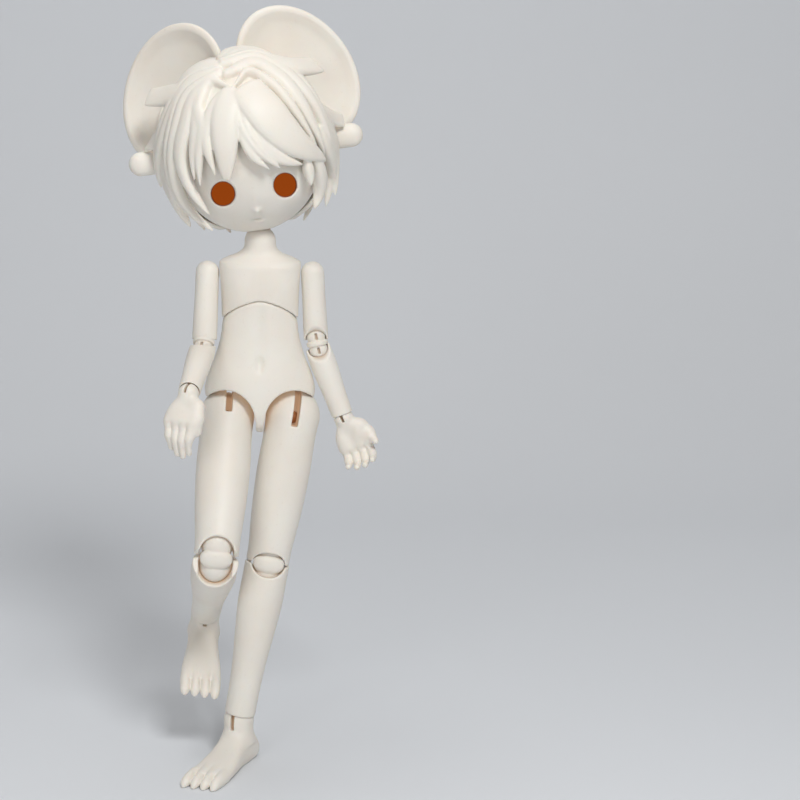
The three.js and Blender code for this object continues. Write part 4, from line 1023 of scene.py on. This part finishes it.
moulded("head_face", "head", head_face, (-48, -33, -36), (48, 7, 36), cell.body, head_place, shell)
moulded("head_cap", "head", head_cap, (-32, 4, -36), (32, 33, 36), cell.body, head_place, shell)
for label, side in (("left", LEFT), ("right", RIGHT)):
    low, high = sorted((side * 2, side * 58))
    moulded(f"mouse_ear_{label}", "head", mouse_ear_piece(side), (low, -8, -12), (high, 22, 60),
            cell.body, head_place)
hair_low, hair_high = np.array((-47, -44, -40)), np.array((47, 46, 46))
for node, locks, front in (("hair_front", front_locks, True), ("hair_back", back_locks, False)):
    low, high = hair_low.copy(), hair_high.copy()
    if front:
        high[1] = hair.split + 2
    else:
        low[1] = hair.split - 2
    p = grid(low, high, cell.hair)
    field = hair_piece(locks, front)(p, low, cell.hair)
    piece = mesh_of(node + "_cast", field, low, cell.hair, head_place)
    finished(piece, node, "head", wig)

# The hidden hardware stays as packed, in its own finish
for node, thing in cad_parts.items():
    if "bead" in node or "hook" in node or "magnet" in node:
        thing.data.materials.clear()
        thing.data.materials.append(bead_skin if "bead" in node else wire)


# Floor, light and camera

def backdrop():
    made, tree, shader = node_material("paper_sweep")
    dim, bright = (0.715, 0.738, 0.768, 1), (0.765, 0.788, 0.818, 1)
    wide = ramp_of(tree, noise_at(tree, 1.2, 1), [(0.3, dim), (0.7, bright)])
    tree.links.new(wide, shader.inputs["Base Color"])
    shader.inputs["Roughness"].default_value = 0.85
    bumped(tree, shader, [(noise_at(tree, 300, 3), 0.3 * mm, 0.1)])
    half_wide, front, back, rise, bend = 2.5, -1.6, 0.75, 2.6, 0.35
    profile_points = [(front, 0)]
    steps = 12
    for k in range(steps + 1):
        angle = math.pi / 2 * k / steps
        profile_points.append((back - bend + bend * math.sin(angle), bend - bend * math.cos(angle)))
    profile_points.append((back, rise))
    mesh = bpy.data.meshes.new("floor")
    corners = [(x, y, z) for y, z in profile_points for x in (-half_wide, half_wide)]
    faces = [(2 * k, 2 * k + 1, 2 * k + 3, 2 * k + 2) for k in range(len(profile_points) - 1)]
    mesh.from_pydata(corners, [], faces)
    for face in mesh.polygons:
        face.use_smooth = True
    mesh.materials.append(made)
    sweep = bpy.data.objects.new("floor", mesh)
    bpy.context.scene.collection.objects.link(sweep)


def soft_light(name, place, aim, size, power):
    lamp = bpy.data.lights.new(name, "AREA")
    lamp.shape = "DISK"
    lamp.size = size
    lamp.energy = power
    thing = bpy.data.objects.new(name, lamp)
    thing.location = place
    thing.rotation_euler = (Vector(aim) - Vector(place)).to_track_quat("-Z", "Y").to_euler()
    bpy.context.scene.collection.objects.link(thing)


backdrop()
centre = (0, 0, 0.15)
soft_light("key", (0.25, -0.78, 0.88), centre, 0.3, 6.3)
soft_light("fill", (-0.5, -1.15, 0.4), centre, 0.6, 2.2)
soft_light("top", (-0.1, 0.05, 1.5), centre, 0.8, 4.0)
world = bpy.data.worlds.new("studio")
world.use_nodes = True
world.node_tree.nodes["Background"].inputs["Color"].default_value = (0.97, 0.935, 0.905, 1)
world.node_tree.nodes["Background"].inputs["Strength"].default_value = 0.25
bpy.context.scene.world = world

# The photograph was taken 0.7 m in front of the doll, at about the height of its forehead, looking down;
# places are from the pelvis
view = Sizes(ahead=-700, above=130, yaw=4.53, pitch=9.91, roll=0.9, lens=80.77)
camera = bpy.data.cameras.new("camera")
camera.lens = view.lens
camera.sensor_width = 36
camera.clip_start = 0.01
camera_object = bpy.data.objects.new("camera", camera)
camera_object.location = (pelvis.translation + Vector((0, view.ahead, view.above))) * mm
aim = Matrix.Rotation(math.radians(-view.yaw), 4, "Z")
aim = aim @ Matrix.Rotation(math.radians(90 - view.pitch), 4, "X")
aim = aim @ Matrix.Rotation(math.radians(view.roll), 4, "Z")
camera_object.rotation_euler = aim.to_euler()
bpy.context.scene.collection.objects.link(camera_object)
bpy.context.scene.camera = camera_object
bpy.context.scene.view_settings.view_transform = "Standard"
